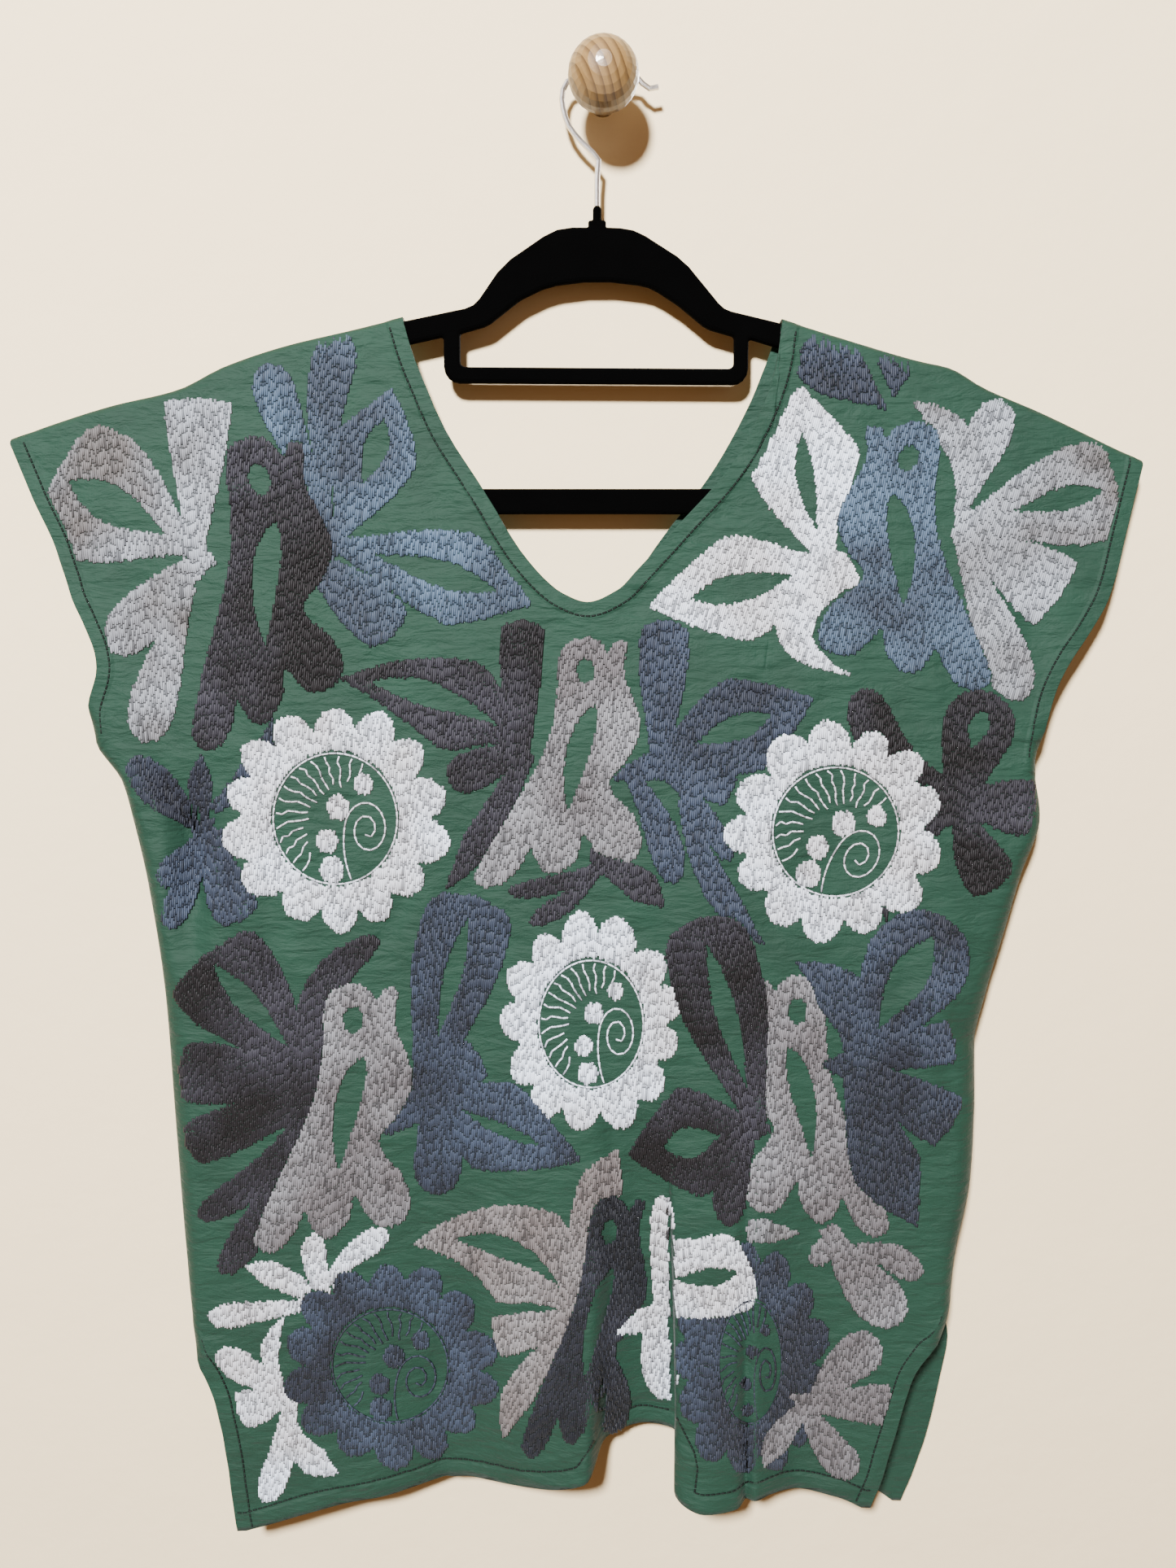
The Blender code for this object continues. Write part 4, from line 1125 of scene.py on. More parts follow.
# What is drawn on the front, from the shoulders down, and what is drawn later lies over what is earlier.
FRONT_MOTIFS: list[Motif] = [
    # Left sleeve and shoulder.
    *sewn(
        Thread.PEARL,
        Leaf((-214, -232), (-287, -192), 70, 0.66, Tip.BLUNT, 0, 9, (0.22, 0.90, 20)),
        Leaf((-214, -236), (-211, -153), 35, 0.94, Tip.BLUNT, 0, 9),
        Leaf((-206, -234), (-259, -285), 27, 0.72, Tip.ROUND, -3, 10),
        Leaf((-216, -250), (-243, -333), 25, 0.74, Tip.ROUND, -2, 5),
        slant=SLANT_LEFT,
    ),
    *sewn(
        Thread.SLATE,
        Leaf((-207, -368), (-174, -318), 13, 0.5, Tip.POINTED, -6, 7),
        Leaf((-211, -378), (-250, -341), 21, 0.62, Tip.ROUND, 2, 7),
        Leaf((-214, -380), (-213, -338), 13, 0.6, Tip.POINTED, 0, 8),
        Leaf((-211, -378), (-238, -406), 18, 0.6, Tip.ROUND, 5, 8),
        Leaf((-210, -372), (-233, -432), 15, 0.78, Tip.ROUND, 2, 8),
    ),
    *sewn(Thread.SLATE, Leaf((-206, -378), (-193, -428), 25, 0.72, Tip.BLUNT, -3, 7)),
    *sewn(
        Thread.BLUE,
        Leaf((-143, -236), (-150, -195), 11, 0.8, Tip.ROUND, 0, 8),
        Leaf((-145, -208), (-175, -136), 22, 0.80, Tip.ROUND, 3, 6),
        Leaf((-145, -205), (-135, -119), 23, 0.78, Tip.ROUND, 5, 6),
        Leaf((-140, -226), (-110, -148), 46, 0.6, Tip.POINTED, -3, 8, (0.38, 0.80, 13)),
        Leaf((-146, -228), (-37, -260), 50, 0.64, Tip.POINTED, 2, 7, (0.24, 0.82, 14)),
        Leaf((-150, -240), (-110, -276), 30, 0.62, Tip.BLUNT, 1, 16),
    ),
    *sewn(Thread.PLUM, Bird((-180, -195), 164, 1, 0.94, 0.72, 0.125, 0.13)),
    # Right shoulder, sleeve and breast.
    *sewn(
        Thread.SLATE,
        Leaf((148, -158), (104, -126), 30, 0.62, Tip.BLUNT, 0, 3),
        Leaf((152, -152), (153, -132), 19, 0.85, Tip.BLUNT, 0, 3),
        slant=SLANT_LEFT,
    ),
    *sewn(
        Thread.WHITE,
        Leaf((118, -236), (104, -147), 60, 0.60, Tip.POINTED, 5, 12, (0.16, 0.74, 10)),
        Leaf((120, -240), (24, -261), 56, 0.50, Tip.POINTED, 1, 12, (0.20, 0.76, 15)),
        Leaf((124, -246), (131, -297), 20, 0.45, Tip.POINTED, -26, 15),
        Leaf((112, -238), (137, -250), 22, 0.4, Tip.POINTED, 0, 18),
        slant=SLANT_RIGHT,
    ),
    *sewn(
        Thread.PEARL,
        Leaf((188, -213), (160, -155), 18, 0.64, Tip.POINTED, -14, 8),
        Leaf((187, -217), (209, -154), 23, 0.74, Tip.ROUND, 1, 5),
        Leaf((185, -220), (270, -199), 52, 0.74, Tip.BLUNT, 1, 7, (0.36, 0.92, 12)),
        Leaf((184, -221), (241, -256), 40, 0.88, Tip.BLUNT, 1, 6),
        Leaf((186, -222), (222, -311), 26, 0.72, Tip.ROUND, 0, 6),
        slant=SLANT_RIGHT,
    ),
    *sewn(Thread.BLUE, Bird((160, -184), 140, -1, 1.04, 1.0, 0.15, 0.05), slant=8.0),
    *sewn(
        Thread.PLUM,
        Leaf((187, -360), (137, -304), 24, 0.74, Tip.ROUND, 11, 14),
        Leaf((190, -364), (206, -306), 38, 0.66, Tip.ROUND, 2, 16, (0.46, 0.84, 11)),
        Leaf((186, -363), (230, -368), 30, 0.8, Tip.BLUNT, 0, 11),
        Leaf((190, -366), (211, -410), 27, 0.72, Tip.BLUNT, -3, 9),
        Leaf((190, -366), (152, -430), 17, 0.45, Tip.POINTED, -14, 14),
    ),
    # Middle of the breast.
    *sewn(
        Thread.PLUM,
        Leaf((-45, -342), (-42, -268), 23, 0.8, Tip.BLUNT, 0, 13),
        Leaf((-45, -330), (-139, -299), 50, 0.34, Tip.POINTED, -7, 10, (0.12, 0.84, 13)),
        Leaf((-42, -336), (-82, -353), 21, 0.7, Tip.ROUND, 0, 12),
        Leaf((-40, -338), (-84, -412), 17, 0.62, Tip.POINTED, 2, 9),
    ),
    *sewn(Thread.GREY, Bird((-9, -295), 133, 1)),
    *sewn(
        Thread.SLATE,
        Leaf((30, -345), (33, -268), 26, 0.72, Tip.BLUNT, 0, 9),
        Leaf((26, -342), (112, -309), 52, 0.56, Tip.POINTED, 0, 9, (0.26, 0.74, 13)),
        Leaf((28, -345), (70, -356), 24, 0.86, Tip.BLUNT, 1, 13),
        Leaf((14, -349), (38, -408), 18, 0.66, Tip.ROUND, 4, 8),
        Leaf((34, -348), (68, -396), 11, 0.72, Tip.ROUND, 3, 6),
        Leaf((44, -362), (88, -442), 16, 0.6, Tip.POINTED, -8, 8),
        Leaf((34, -343), (4, -352), 14, 0.35, Tip.POINTED, 0, 12),
    ),
    *sewn(
        Thread.PLUM,
        Leaf((0, -398), (-51, -412), 10, 0.6, Tip.ROUND, 3, 6),
        Leaf((-2, -400), (-39, -429), 11, 0.65, Tip.ROUND, 3, 5),
        Leaf((-2, -397), (33, -421), 18, 0.62, Tip.POINTED, 3, 9),
        Leaf((0, -403), (-6, -388), 8, 0.4, Tip.POINTED, 0, 7),
    ),
    *sewn(Thread.WHITE, Flower((-142, -373), (61, 60), (34, 36), 14)),
    *sewn(Thread.WHITE, Flower((124, -380), (58, 59), (34.5, 35.5), 13, -28.0)),
    *sewn(Thread.WHITE, Flower((-6, -484), (49, 61), (29, 36), 13)),
    # Waist.
    *sewn(
        Thread.PLUM,
        Leaf((-156, -510), (-213, -446), 58, 0.76, Tip.BLUNT, 1, 12, (0.20, 0.92, 12)),
        Leaf((-156, -512), (-119, -437), 20, 0.5, Tip.ROUND, 15, 14),
        Leaf((-150, -516), (-229, -510), 34, 0.8, Tip.BLUNT, 0, 16),
        Leaf((-152, -520), (-226, -552), 26, 0.76, Tip.BLUNT, 1, 16),
        Leaf((-152, -526), (-221, -592), 17, 0.72, Tip.ROUND, 7, 14),
        Leaf((-162, -540), (-209, -624), 18, 0.72, Tip.ROUND, 4, 10),
    ),
    *sewn(
        Thread.SLATE,
        Leaf((-96, -522), (-68, -414), 48, 0.70, Tip.BLUNT, 1, 14, (0.26, 0.88, 10)),
        Leaf((-96, -519), (-66, -502), 24, 0.8, Tip.BLUNT, 0, 18),
        Leaf((-94, -522), (-11, -560), 52, 0.44, Tip.POINTED, -2, 14, (0.22, 0.74, 7)),
        Leaf((-94, -520), (-92, -579), 26, 0.7, Tip.ROUND, 4, 13),
        Leaf((-90, -519), (-119, -546), 16, 0.5, Tip.POINTED, 0, 16),
    ),
    *sewn(Thread.GREY, Bird((-134, -482), 150, 1, 0.97, 0.83)),
    *sewn(Thread.GREY, Bird((105, -477), 146, -1, 0.93, 0.78)),
    *sewn(
        Thread.PLUM,
        Leaf((84, -540), (52, -426), 48, 0.62, Tip.BLUNT, 0, 12, (0.16, 0.86, 12)),
        Leaf((86, -541), (14, -557), 62, 0.52, Tip.POINTED, 0, 11, (0.30, 0.74, 17)),
        Leaf((80, -538), (70, -597), 19, 0.62, Tip.ROUND, -4, 13),
        Leaf((76, -540), (92, -543), 16, 0.4, Tip.POINTED, 0, 15),
        slant=-9.0,
    ),
    *sewn(
        Thread.SLATE,
        Leaf((138, -506), (184, -426), 56, 0.66, Tip.ROUND, 1, 12, (0.24, 0.86, 20)),
        Leaf((138, -510), (103, -450), 27, 0.6, Tip.POINTED, -13, 14),
        Leaf((128, -507), (190, -493), 24, 0.9, Tip.BLUNT, 0, 10),
        Leaf((126, -506), (190, -540), 31, 0.88, Tip.BLUNT, 1, 11),
        Leaf((136, -512), (172, -597), 38, 0.6, Tip.POINTED, -3, 13),
        Leaf((142, -508), (118, -506), 14, 0.5, Tip.POINTED, 0, 12),
    ),
    # Round the hem.
    *sewn(
        Thread.TAUPE,
        Leaf((-10, -652), (9, -553), 24, 0.78, Tip.POINTED, 8, 9),
        Leaf((-12, -648), (-104, -607), 60, 0.40, Tip.POINTED, -19, 10, (0.16, 0.80, 12)),
        Leaf((-10, -650), (-60, -661), 24, 0.84, Tip.BLUNT, 0, 13),
        Leaf((-12, -654), (-55, -721), 18, 0.66, Tip.POINTED, -8, 9),
    ),
    *sewn(Thread.DARK, Bird((4, -600), 152, 1, 0.70, 0.55, -0.085)),
    *sewn(
        Thread.WHITE,
        Leaf((32, -645), (33, -579), 13, 0.72, Tip.ROUND, 0, 8),
        Leaf((34, -645), (7, -659), 14, 0.4, Tip.POINTED, 0, 12),
        Leaf((30, -648), (37, -697), 19, 0.62, Tip.ROUND, -3, 12),
        Leaf((32, -640), (45, -632), 10, 0.5, Tip.BLUNT, 0, 9),
    ),
    *sewn(
        Thread.WHITE,
        Leaf((-150, -642), (-157, -601), 14, 0.7, Tip.ROUND, 3, 7),
        Leaf((-150, -630), (-117, -600), 14, 0.72, Tip.ROUND, 3, 7),
        Leaf((-154, -641), (-197, -619), 15, 0.66, Tip.POINTED, -3, 8),
        Leaf((-158, -641), (-217, -650), 14, 0.78, Tip.ROUND, 0, 6),
        Leaf((-178, -690), (-174, -648), 10, 0.55, Tip.POINTED, 7, 7),
        Leaf((-174, -692), (-212, -668), 18, 0.66, Tip.ROUND, 2, 8),
        Leaf((-172, -696), (-202, -704), 22, 0.8, Tip.BLUNT, 0, 9),
        Leaf((-173, -697), (-189, -758), 16, 0.72, Tip.ROUND, 3, 8),
        Leaf((-172, -712), (-146, -741), 18, 0.62, Tip.POINTED, -6, 7),
    ),
    *sewn(Thread.SLATE, Flower((-117, -677), (60, 60), (33, 34), 14, -8.0)),
    *sewn(Thread.SLATE, Flower((82, -675), (43, 68), (18, 37), 13)),
    *sewn(
        Thread.WHITE,
        Leaf((34, -626), (82, -620), 47, 0.52, Tip.BLUNT, -3, 44, (0.10, 0.84, 10)),
        slant=-7.0,
    ),
    *sewn(Thread.PEARL, Leaf((79, -599), (109, -601), 14, 0.3, Tip.POINTED, 0, 12)),
    *sewn(
        Thread.GREY,
        Leaf((127, -597), (114, -617), 13, 0.6, Tip.ROUND, 3, 7),
        Leaf((123, -597), (165, -652), 28, 0.7, Tip.ROUND, -3, 9),
        Leaf((140, -611), (174, -627), 16, 0.6, Tip.ROUND, 5, 9),
        Leaf((117, -700), (153, -662), 26, 0.72, Tip.ROUND, 3, 9),
        Leaf((112, -699), (161, -700), 24, 0.84, Tip.BLUNT, 0, 9),
        Leaf((112, -698), (142, -742), 20, 0.72, Tip.ROUND, -3, 8),
        Leaf((117, -697), (90, -738), 15, 0.66, Tip.POINTED, -3, 8),
        Leaf((118, -699), (103, -695), 9, 0.4, Tip.POINTED, 0, 8),
    ),
]


BLOUSE_MIDDLE_X = -14.0
BACK_FLOWER_TURN = 60.0


def turned_over(motif: Motif) -> Motif:
    """Swaps a motif's left and right for the back panel.

    Args:
        motif: A motif of the front.

    Returns:
        Its mirror image about the blouse's middle.
    """
    shape = motif.shape

    def over(point: tuple[float, float]) -> tuple[float, float]:
        """Mirrors one point."""
        return (2 * BLOUSE_MIDDLE_X - point[0], point[1])

    if isinstance(shape, Leaf):
        shape = replace(shape, base=over(shape.base), end=over(shape.end), bend=-shape.bend)
    elif isinstance(shape, Bird):
        shape = replace(shape, eye=over(shape.eye), faces=-shape.faces, rise=0.0)
    else:
        shape = replace(shape, centre=over(shape.centre), start=shape.start + BACK_FLOWER_TURN)
    return Motif(motif.thread, -motif.slant, shape)


def fills(outline: np.ndarray, x: np.ndarray, z: np.ndarray) -> np.ndarray:
    """Finds which points lie inside a closed outline.

    Args:
        outline: The outline's points.
        x: Places of the points to test.
        z: Their heights.

    Returns:
        True for each point inside.
    """
    inside = np.zeros(x.shape, bool)
    for (x0, z0), (x1, z1) in zip(outline, np.roll(outline, -1, axis=0)):
        if z0 == z1:
            continue
        crosses = (z0 > z) != (z1 > z)
        inside ^= crosses & (x < (x1 - x0) * (z - z0) / (z1 - z0) + x0)
    return inside


@dataclass
class Strands:
    """Short raised stitches, each a closed three-sided strand whose crest falls at its ends.

    Attributes:
        ends: Rows of both ends on the drawing: x0, z0, x1, z1.
        width: Each stitch's width.
        high: How far each stands off the cloth.
    """

    ends: list[np.ndarray] = field(default_factory=list)
    width: list[np.ndarray] = field(default_factory=list)
    high: list[np.ndarray] = field(default_factory=list)

    # Where the crest starts, as a share of the length, and how far the edges stand off the cloth.
    CREST_IN = 0.09
    EDGE_LIFT = 0.04
    # Stitches below this length are the ones pulled down between others: they lie lower, and their colour is
    # darkened as painted shade.
    SHORT = 2.4
    SHORT_HIGH = 0.6
    SHORT_SHADE = 0.25
    # A high power leaves most stitches at their full tone and darkens a few, as painted shade between the
    # stitches.
    SHADE_POWER = 5
    # A stitch is left out where it would hang over a fold's edge, on its steep side, or over the shoulder.
    MOST_DROP = 3.5
    STEEPEST = 4.0
    UNDER_FOLD = 1.2
    FACES = ((0, 2, 1), (0, 1, 4), (0, 4, 3), (1, 2, 5), (1, 5, 4), (2, 0, 3), (2, 3, 5), (3, 4, 5))

    def add(self, ends: np.ndarray, width: float | np.ndarray, high: float | np.ndarray) -> None:
        """Adds stitches.

        Args:
            ends: Rows of x0, z0, x1, z1.
            width: One width, or one for each.
            high: One height, or one for each.
        """
        self.ends.append(ends)
        self.width.append(np.broadcast_to(width, len(ends)))
        self.high.append(np.broadcast_to(high, len(ends)))

    def along(self, line: np.ndarray, stitch: float, gap: float, width: float, high: float) -> None:
        """Sews a row of stitches along a line.

        Args:
            line: The line's points.
            stitch: A stitch's length.
            gap: The gap between two.
            width: A stitch's width.
            high: How far it stands off the cloth.
        """
        run = np.concatenate([[0], np.cumsum(np.hypot(*np.diff(line, axis=0).T))])
        count = max(1, round(run[-1] / (stitch + gap)))
        starts = np.linspace(0, run[-1], count, endpoint=False)
        stops = starts + run[-1] / count - gap
        places = [np.interp(at, run, line[:, k]) for at in (starts, stops) for k in (0, 1)]
        self.add(np.stack(places, axis=-1), width, high)

    def build(self, name: str, drawing: Drawing, finish: bpy.types.Material, seed: int) -> bpy.types.Object:
        """Makes all the stitches one mesh on the hung cloth.

        Args:
            name: The piece's name.
            drawing: The drawing that they lie on.
            finish: The thread's material.
            seed: For the small chance differences in tone and painted shade from stitch to stitch.

        Returns:
            The joined stitches.
        """
        ends, width, high = (np.concatenate(part) for part in (self.ends, self.width, self.high))
        first, last = ends[:, :2], ends[:, 2:]
        run = last - first
        side = across_run(run) * width[:, None] / 2
        near, far = first + run * self.CREST_IN, last - run * self.CREST_IN
        drawn = np.stack([first - side, near, first + side, last - side, far, last + side], axis=1)
        short = np.linalg.norm(run, axis=1) < self.SHORT
        high = np.where(short, self.SHORT_HIGH, 1.0) * high
        edge = np.full(len(ends), self.EDGE_LIFT)
        lift = np.stack([edge, high, edge, edge, high, edge], axis=1)
        points = drawing.on_cloth(drawn.reshape(-1, 2), lift.ravel()).reshape(-1, 6, 3)
        drop = np.ptp(points[:, :, 1], axis=1)
        below = (points[:, :, 2] < drawing.panel.top_line(points[:, :, 0]) - self.UNDER_FOLD).all(axis=1)
        whole = below & (drop < self.MOST_DROP)
        whole &= drawing.read(drawing.inside.astype(float), (first + last) / 2) > 0.5
        for place in (first, last):
            whole &= np.abs(drawing.read(drawing.slope_x, place)) < self.STEEPEST
        points = points[whole]
        corners = np.array(self.FACES)
        if drawing.panel.side is Side.FRONT:
            corners = corners[:, ::-1]
        faces = (np.arange(len(points))[:, None, None] * 6 + corners).reshape(-1, 3)
        # Each stitch gets a random tone, a few get painted shade, and the short ones are darkened further as
        # painted shade.
        tone_and_shade = 1 - np.random.default_rng(seed).uniform(0, 1, len(points)) ** self.SHADE_POWER
        tone_and_shade = np.where(short[whole], self.SHORT_SHADE, 1.0) * tone_and_shade
        return make_mesh(name, points.reshape(-1, 3), faces, finish, {"tone_and_shade": tone_and_shade.repeat(6)})


@dataclass
class Embroidery:
    """The stitched motifs of one panel.

    Attributes:
        motifs: What is drawn, the later over the earlier.
        spacing: The distance from thread to thread.
        stitch: A filling stitch's length.
        neck_clear: How far the motifs stay from the neck's edge.
        edge_clear: How far they stay from the other hemmed edges.
    """

    motifs: list[Motif]
    spacing: float = 1.08
    stitch: float = 6.6
    neck_clear: float = 12.0
    edge_clear: float = 8.5

    # The cell of the grid on which motifs are painted before they are stitched.
    PIXEL = 0.5
    # A stitch's height and width, and between which factors chance varies them.
    THREAD_HIGH = 0.44
    HEIGHTS = (0.9, 1.1)
    WIDTHS = (1.36, 1.5)
    # How far a row's ends and its breaks stray along it, and a stitch's ends across it.
    RAGGED = 0.85
    STRAY = 0.7
    SWAY = 0.07
    # The shortest row and stitch, and how far from a row's ends its breaks stay.
    SHORTEST = 1.3
    LEAST = 0.8
    END_CLEAR = 1.6
    # The gap at each needle hole, and the share and length of the small stitches between two long ones, which
    # are darkened as painted shade.
    NEEDLE_GAP = 0.12
    SLIVERS = 0.4
    SLIVER = 1.9
    SLIVER_CLEAR = 3.5
    # The flowers' line work: stitch, gap, width and height.
    LINE_WORK = (4.0, 0.05, 1.15, 0.5)
    # The panel's hemmed edges come in this order.
    NECK_EDGE = 0
    HEM_EDGE = 1
    DRAWS = 7

    def paint(self, drawing: Drawing, surface: Surface) -> tuple[np.ndarray, list[tuple[Thread, float]]]:
        """Fills the motifs on a fine grid, each cell holding the number of its thread and slant.

        Args:
            drawing: The panel's drawing.
            surface: The panel's faces.

        Returns:
            The grid, and the thread and slant of each number from 1 on.
        """
        shape = tuple(int(n * drawing.CELL / self.PIXEL) for n in drawing.shape)
        grid = np.zeros(shape, np.int16)
        kinds: list[tuple[Thread, float]] = []
        for motif in self.motifs:
            kind = (motif.thread, motif.slant)
            if kind not in kinds:
                kinds.append(kind)
            number = kinds.index(kind) + 1
            layers = [(number, motif.shape.outline())] + [(0, hole) for hole in motif.shape.openings()]
            if isinstance(motif.shape, Flower):
                layers += [(number, dot) for dot in motif.shape.dots()]
            for value, outline in layers:
                low = np.maximum(((outline.min(axis=0) - drawing.low) / self.PIXEL).astype(int) - 1, 0)
                high = np.minimum(((outline.max(axis=0) - drawing.low) / self.PIXEL).astype(int) + 2, shape)
                if (high <= low).any():
                    continue
                x, z = (drawing.low[k] + (np.arange(low[k], high[k]) + 0.5) * self.PIXEL for k in (0, 1))
                box = grid[low[0] : high[0], low[1] : high[1]]
                box[fills(outline, *np.meshgrid(x, z, indexing="ij"))] = value
        self.keep_clear(grid, drawing, surface)
        return grid, kinds

    def keep_clear(self, grid: np.ndarray, drawing: Drawing, surface: Surface) -> None:
        """Empties the cells near the hemmed edges.

        Args:
            grid: The painted grid.
            drawing: The panel's drawing.
            surface: The panel's faces.
        """
        outer = surface.outer
        for number, line in enumerate(drawing.panel.open_edges(outer[..., 0], outer[..., 2])):
            clear = self.neck_clear if number == self.NECK_EDGE else self.edge_clear
            # The hem is cleared straight on, and the other edges as they are seen.
            if number != self.HEM_EDGE:
                x, z = line.T
                line = drawing.to_drawn(np.stack([x, drawing.flat_depth(z), z], axis=-1))
            for place in line:
                low = np.maximum(((place - clear - drawing.low) / self.PIXEL).astype(int), 0)
                high = ((place + clear - drawing.low) / self.PIXEL).astype(int) + 1
                box = grid[low[0] : high[0], low[1] : high[1]]
                x, z = (
                    drawing.low[k] + (np.arange(low[k], low[k] + box.shape[k]) + 0.5) * self.PIXEL - place[k]
                    for k in (0, 1)
                )
                box[np.hypot(x[:, None], z) < clear] = 0

    def fill(
        self, grid: np.ndarray, number: int, slant: float, low: np.ndarray, draws: np.random.Generator
    ) -> np.ndarray:
        """Lays rows of stitches over the cells that hold a number.

        Args:
            grid: The painted grid.
            number: The cells to fill.
            slant: The rows' slant in degrees from upright.
            low: The grid's lowest corner on the drawing.
            draws: The source of chance.

        Returns:
            Rows of x0, z0, x1, z1, one for each stitch.
        """
        along = np.array([math.sin(math.radians(slant)), math.cos(math.radians(slant))])
        across = np.array([along[1], -along[0]])
        cells = np.argwhere(grid == number)
        if not len(cells):
            return np.zeros((0, 4))
        places = low + (cells + 0.5) * self.PIXEL
        rows = places @ across
        steps = places @ along
        row_from, row_to = rows.min() - self.spacing, rows.max() + self.spacing
        at_row = np.arange(row_from, row_to, self.spacing)
        at_step = np.arange(steps.min() - 1, steps.max() + 1, self.PIXEL)
        samples = at_row[:, None, None] * across + at_step[None, :, None] * along
        index = ((samples - low) / self.PIXEL).astype(int)
        fits = (index >= 0).all(axis=-1) & (index < np.array(grid.shape)).all(axis=-1)
        index = np.where(fits[..., None], index, 0)
        filled = fits & (grid[index[..., 0], index[..., 1]] == number)
        change = np.diff(np.pad(filled, ((0, 0), (1, 1))).astype(np.int8), axis=1)
        row_of, start = np.nonzero(change == 1)
        _, stop = np.nonzero(change == -1)
        stitches = []
        for row, begin, end in zip(row_of, start, stop):
            begin_at = at_step[0] + begin * self.PIXEL + draws.uniform(-self.RAGGED, self.RAGGED)
            end_at = at_step[0] + end * self.PIXEL + draws.uniform(-self.RAGGED, self.RAGGED)
            if end_at - begin_at < self.SHORTEST:
                continue
            offset = draws.uniform(0, self.stitch)
            first = math.ceil((begin_at + self.END_CLEAR - offset) / self.stitch)
            last = math.floor((end_at - self.END_CLEAR - offset) / self.stitch)
            breaks = [
                offset + k * self.stitch + draws.uniform(-self.STRAY, self.STRAY)
                for k in range(first, last + 1)
            ]
            slivers = [
                at + self.SLIVER
                for at in breaks
                if draws.uniform() < self.SLIVERS and at + self.SLIVER_CLEAR < end_at
            ]
            marks = [begin_at, *sorted(breaks + slivers), end_at]
            place = at_row[row]
            for a, b in zip(marks, marks[1:]):
                if b - a > self.LEAST:
                    sway = draws.uniform(-self.SWAY, self.SWAY, 2)
                    stitches.append((place + sway[0], a, place + sway[1], b - self.NEEDLE_GAP))
        if not stitches:
            return np.zeros((0, 4))
        ends = np.array(stitches)
        first = ends[:, :1] * across + ends[:, 1:2] * along
        last = ends[:, 2:3] * across + ends[:, 3:] * along
        return np.concatenate([first, last], axis=1)

    def build(
        self, drawing: Drawing, surface: Surface, threads: dict[Thread, bpy.types.Material]
    ) -> list[bpy.types.Object]:
        """Stitches the motifs.

        Args:
            drawing: The panel's drawing.
            surface: The panel's faces.
            threads: Each thread's material.

        Returns:
            One piece for each thread.
        """
        side = drawing.panel.side.name.lower()
        draws = np.random.default_rng(SEED + self.DRAWS)
        grid, kinds = self.paint(drawing, surface)
        strands: dict[Thread, Strands] = {}
        for number, (thread, slant) in enumerate(kinds, 1):
            ends = self.fill(grid, number, slant, drawing.low, draws)
            high = self.THREAD_HIGH * draws.uniform(*self.HEIGHTS, len(ends))
            width = self.spacing * draws.uniform(*self.WIDTHS, len(ends))
            strands.setdefault(thread, Strands()).add(ends, width, high)
        for motif in self.motifs:
            if isinstance(motif.shape, Flower):
                for line in motif.shape.fine_lines():
                    strands[motif.thread].along(line, *self.LINE_WORK)
        pieces = []
        for count, (thread, group) in enumerate(strands.items()):
            name = f"{side}_{thread.value}_embroidery"
            pieces.append(group.build(name, drawing, threads[thread], SEED + count))
        return pieces


@dataclass
class Topstitching:
    """The sewing that holds the turned hems, a row of dark stitches inside each open edge.

    Attributes:
        neck_in: How far inside the neck's edge it runs.
        hem_in: How far above the hem.
        cuff_in: How far inside the cuffs.
        slit_in: How far inside the slits.
    """

    neck_in: float = 7.6
    hem_in: float = 10.5
    cuff_in: float = 7.0
    slit_in: float = 8.6

    STITCH = 2.5
    GAP = 0.5
    WIDTH = 1.0
    HIGH = 0.36
    # The step at which an edge is read, and the share of its distance below which a moved point is a loop's.
    STEP = 3.0
    LOOP = 0.93
    PANEL_MIDDLE = (-12.0, -430.0)
    DRAWS = 90

    def inside(self, line: np.ndarray, distance: float, middle: np.ndarray) -> np.ndarray:
        """Moves a line towards the panel's middle, square to its own run.

        Args:
            line: The edge's points.
            distance: How far to move it.
            middle: A point well inside the panel.

        Returns:
            The moved line, without the loops that a tight bend would leave.
        """
        length = np.concatenate([[0], np.cumsum(np.hypot(*np.diff(line, axis=0).T))])
        even = np.linspace(0, length[-1], max(8, round(length[-1] / self.STEP)))
        line = np.stack([np.interp(even, length, line[:, k]) for k in (0, 1)], axis=-1)
        across = across_run(np.gradient(line, axis=0))
        way = np.sign(((middle - line) * across).sum(axis=1).mean())
        moved = line + way * distance * across
        gaps = np.hypot(moved[:, None, 0] - line[None, :, 0], moved[:, None, 1] - line[None, :, 1])
        return moved[gaps.min(axis=1) > self.LOOP * distance]

    def build(self, drawing: Drawing, surface: Surface, finish: bpy.types.Material) -> bpy.types.Object:
        """Sews the rows.

        Args:
            drawing: The panel's drawing.
            surface: The panel's faces.
            finish: The sewing thread's material.

        Returns:
            The rows as one piece.
        """
        outer = surface.outer
        middle = np.array(self.PANEL_MIDDLE)
        strands = Strands()
        distances = [self.neck_in, self.hem_in, self.cuff_in, self.cuff_in, self.slit_in, self.slit_in]
        for line, distance in zip(drawing.panel.open_edges(outer[..., 0], outer[..., 2]), distances):
            if len(line) < 3:
                continue
            moved = self.inside(line, distance, middle)
            depth = self.depth_near(outer.reshape(-1, 3), moved)
            drawn = drawing.to_drawn(np.stack([moved[:, 0], depth, moved[:, 1]], axis=-1))
            strands.along(drawn, self.STITCH, self.GAP, self.WIDTH, self.HIGH)
        name = f"{drawing.panel.side.name.lower()}_topstitching"
        return strands.build(name, drawing, finish, SEED + self.DRAWS)

    def depth_near(self, points: np.ndarray, at: np.ndarray) -> np.ndarray:
        """Reads the panel's depth beside each place.

        Args:
            points: The outer face's points.
            at: Rows of x and z.

        Returns:
            The depth of the nearest point.
        """
        gaps = np.hypot(at[:, None, 0] - points[None, :, 0], at[:, None, 1] - points[None, :, 2])
        return points[gaps.argmin(axis=1), 1]


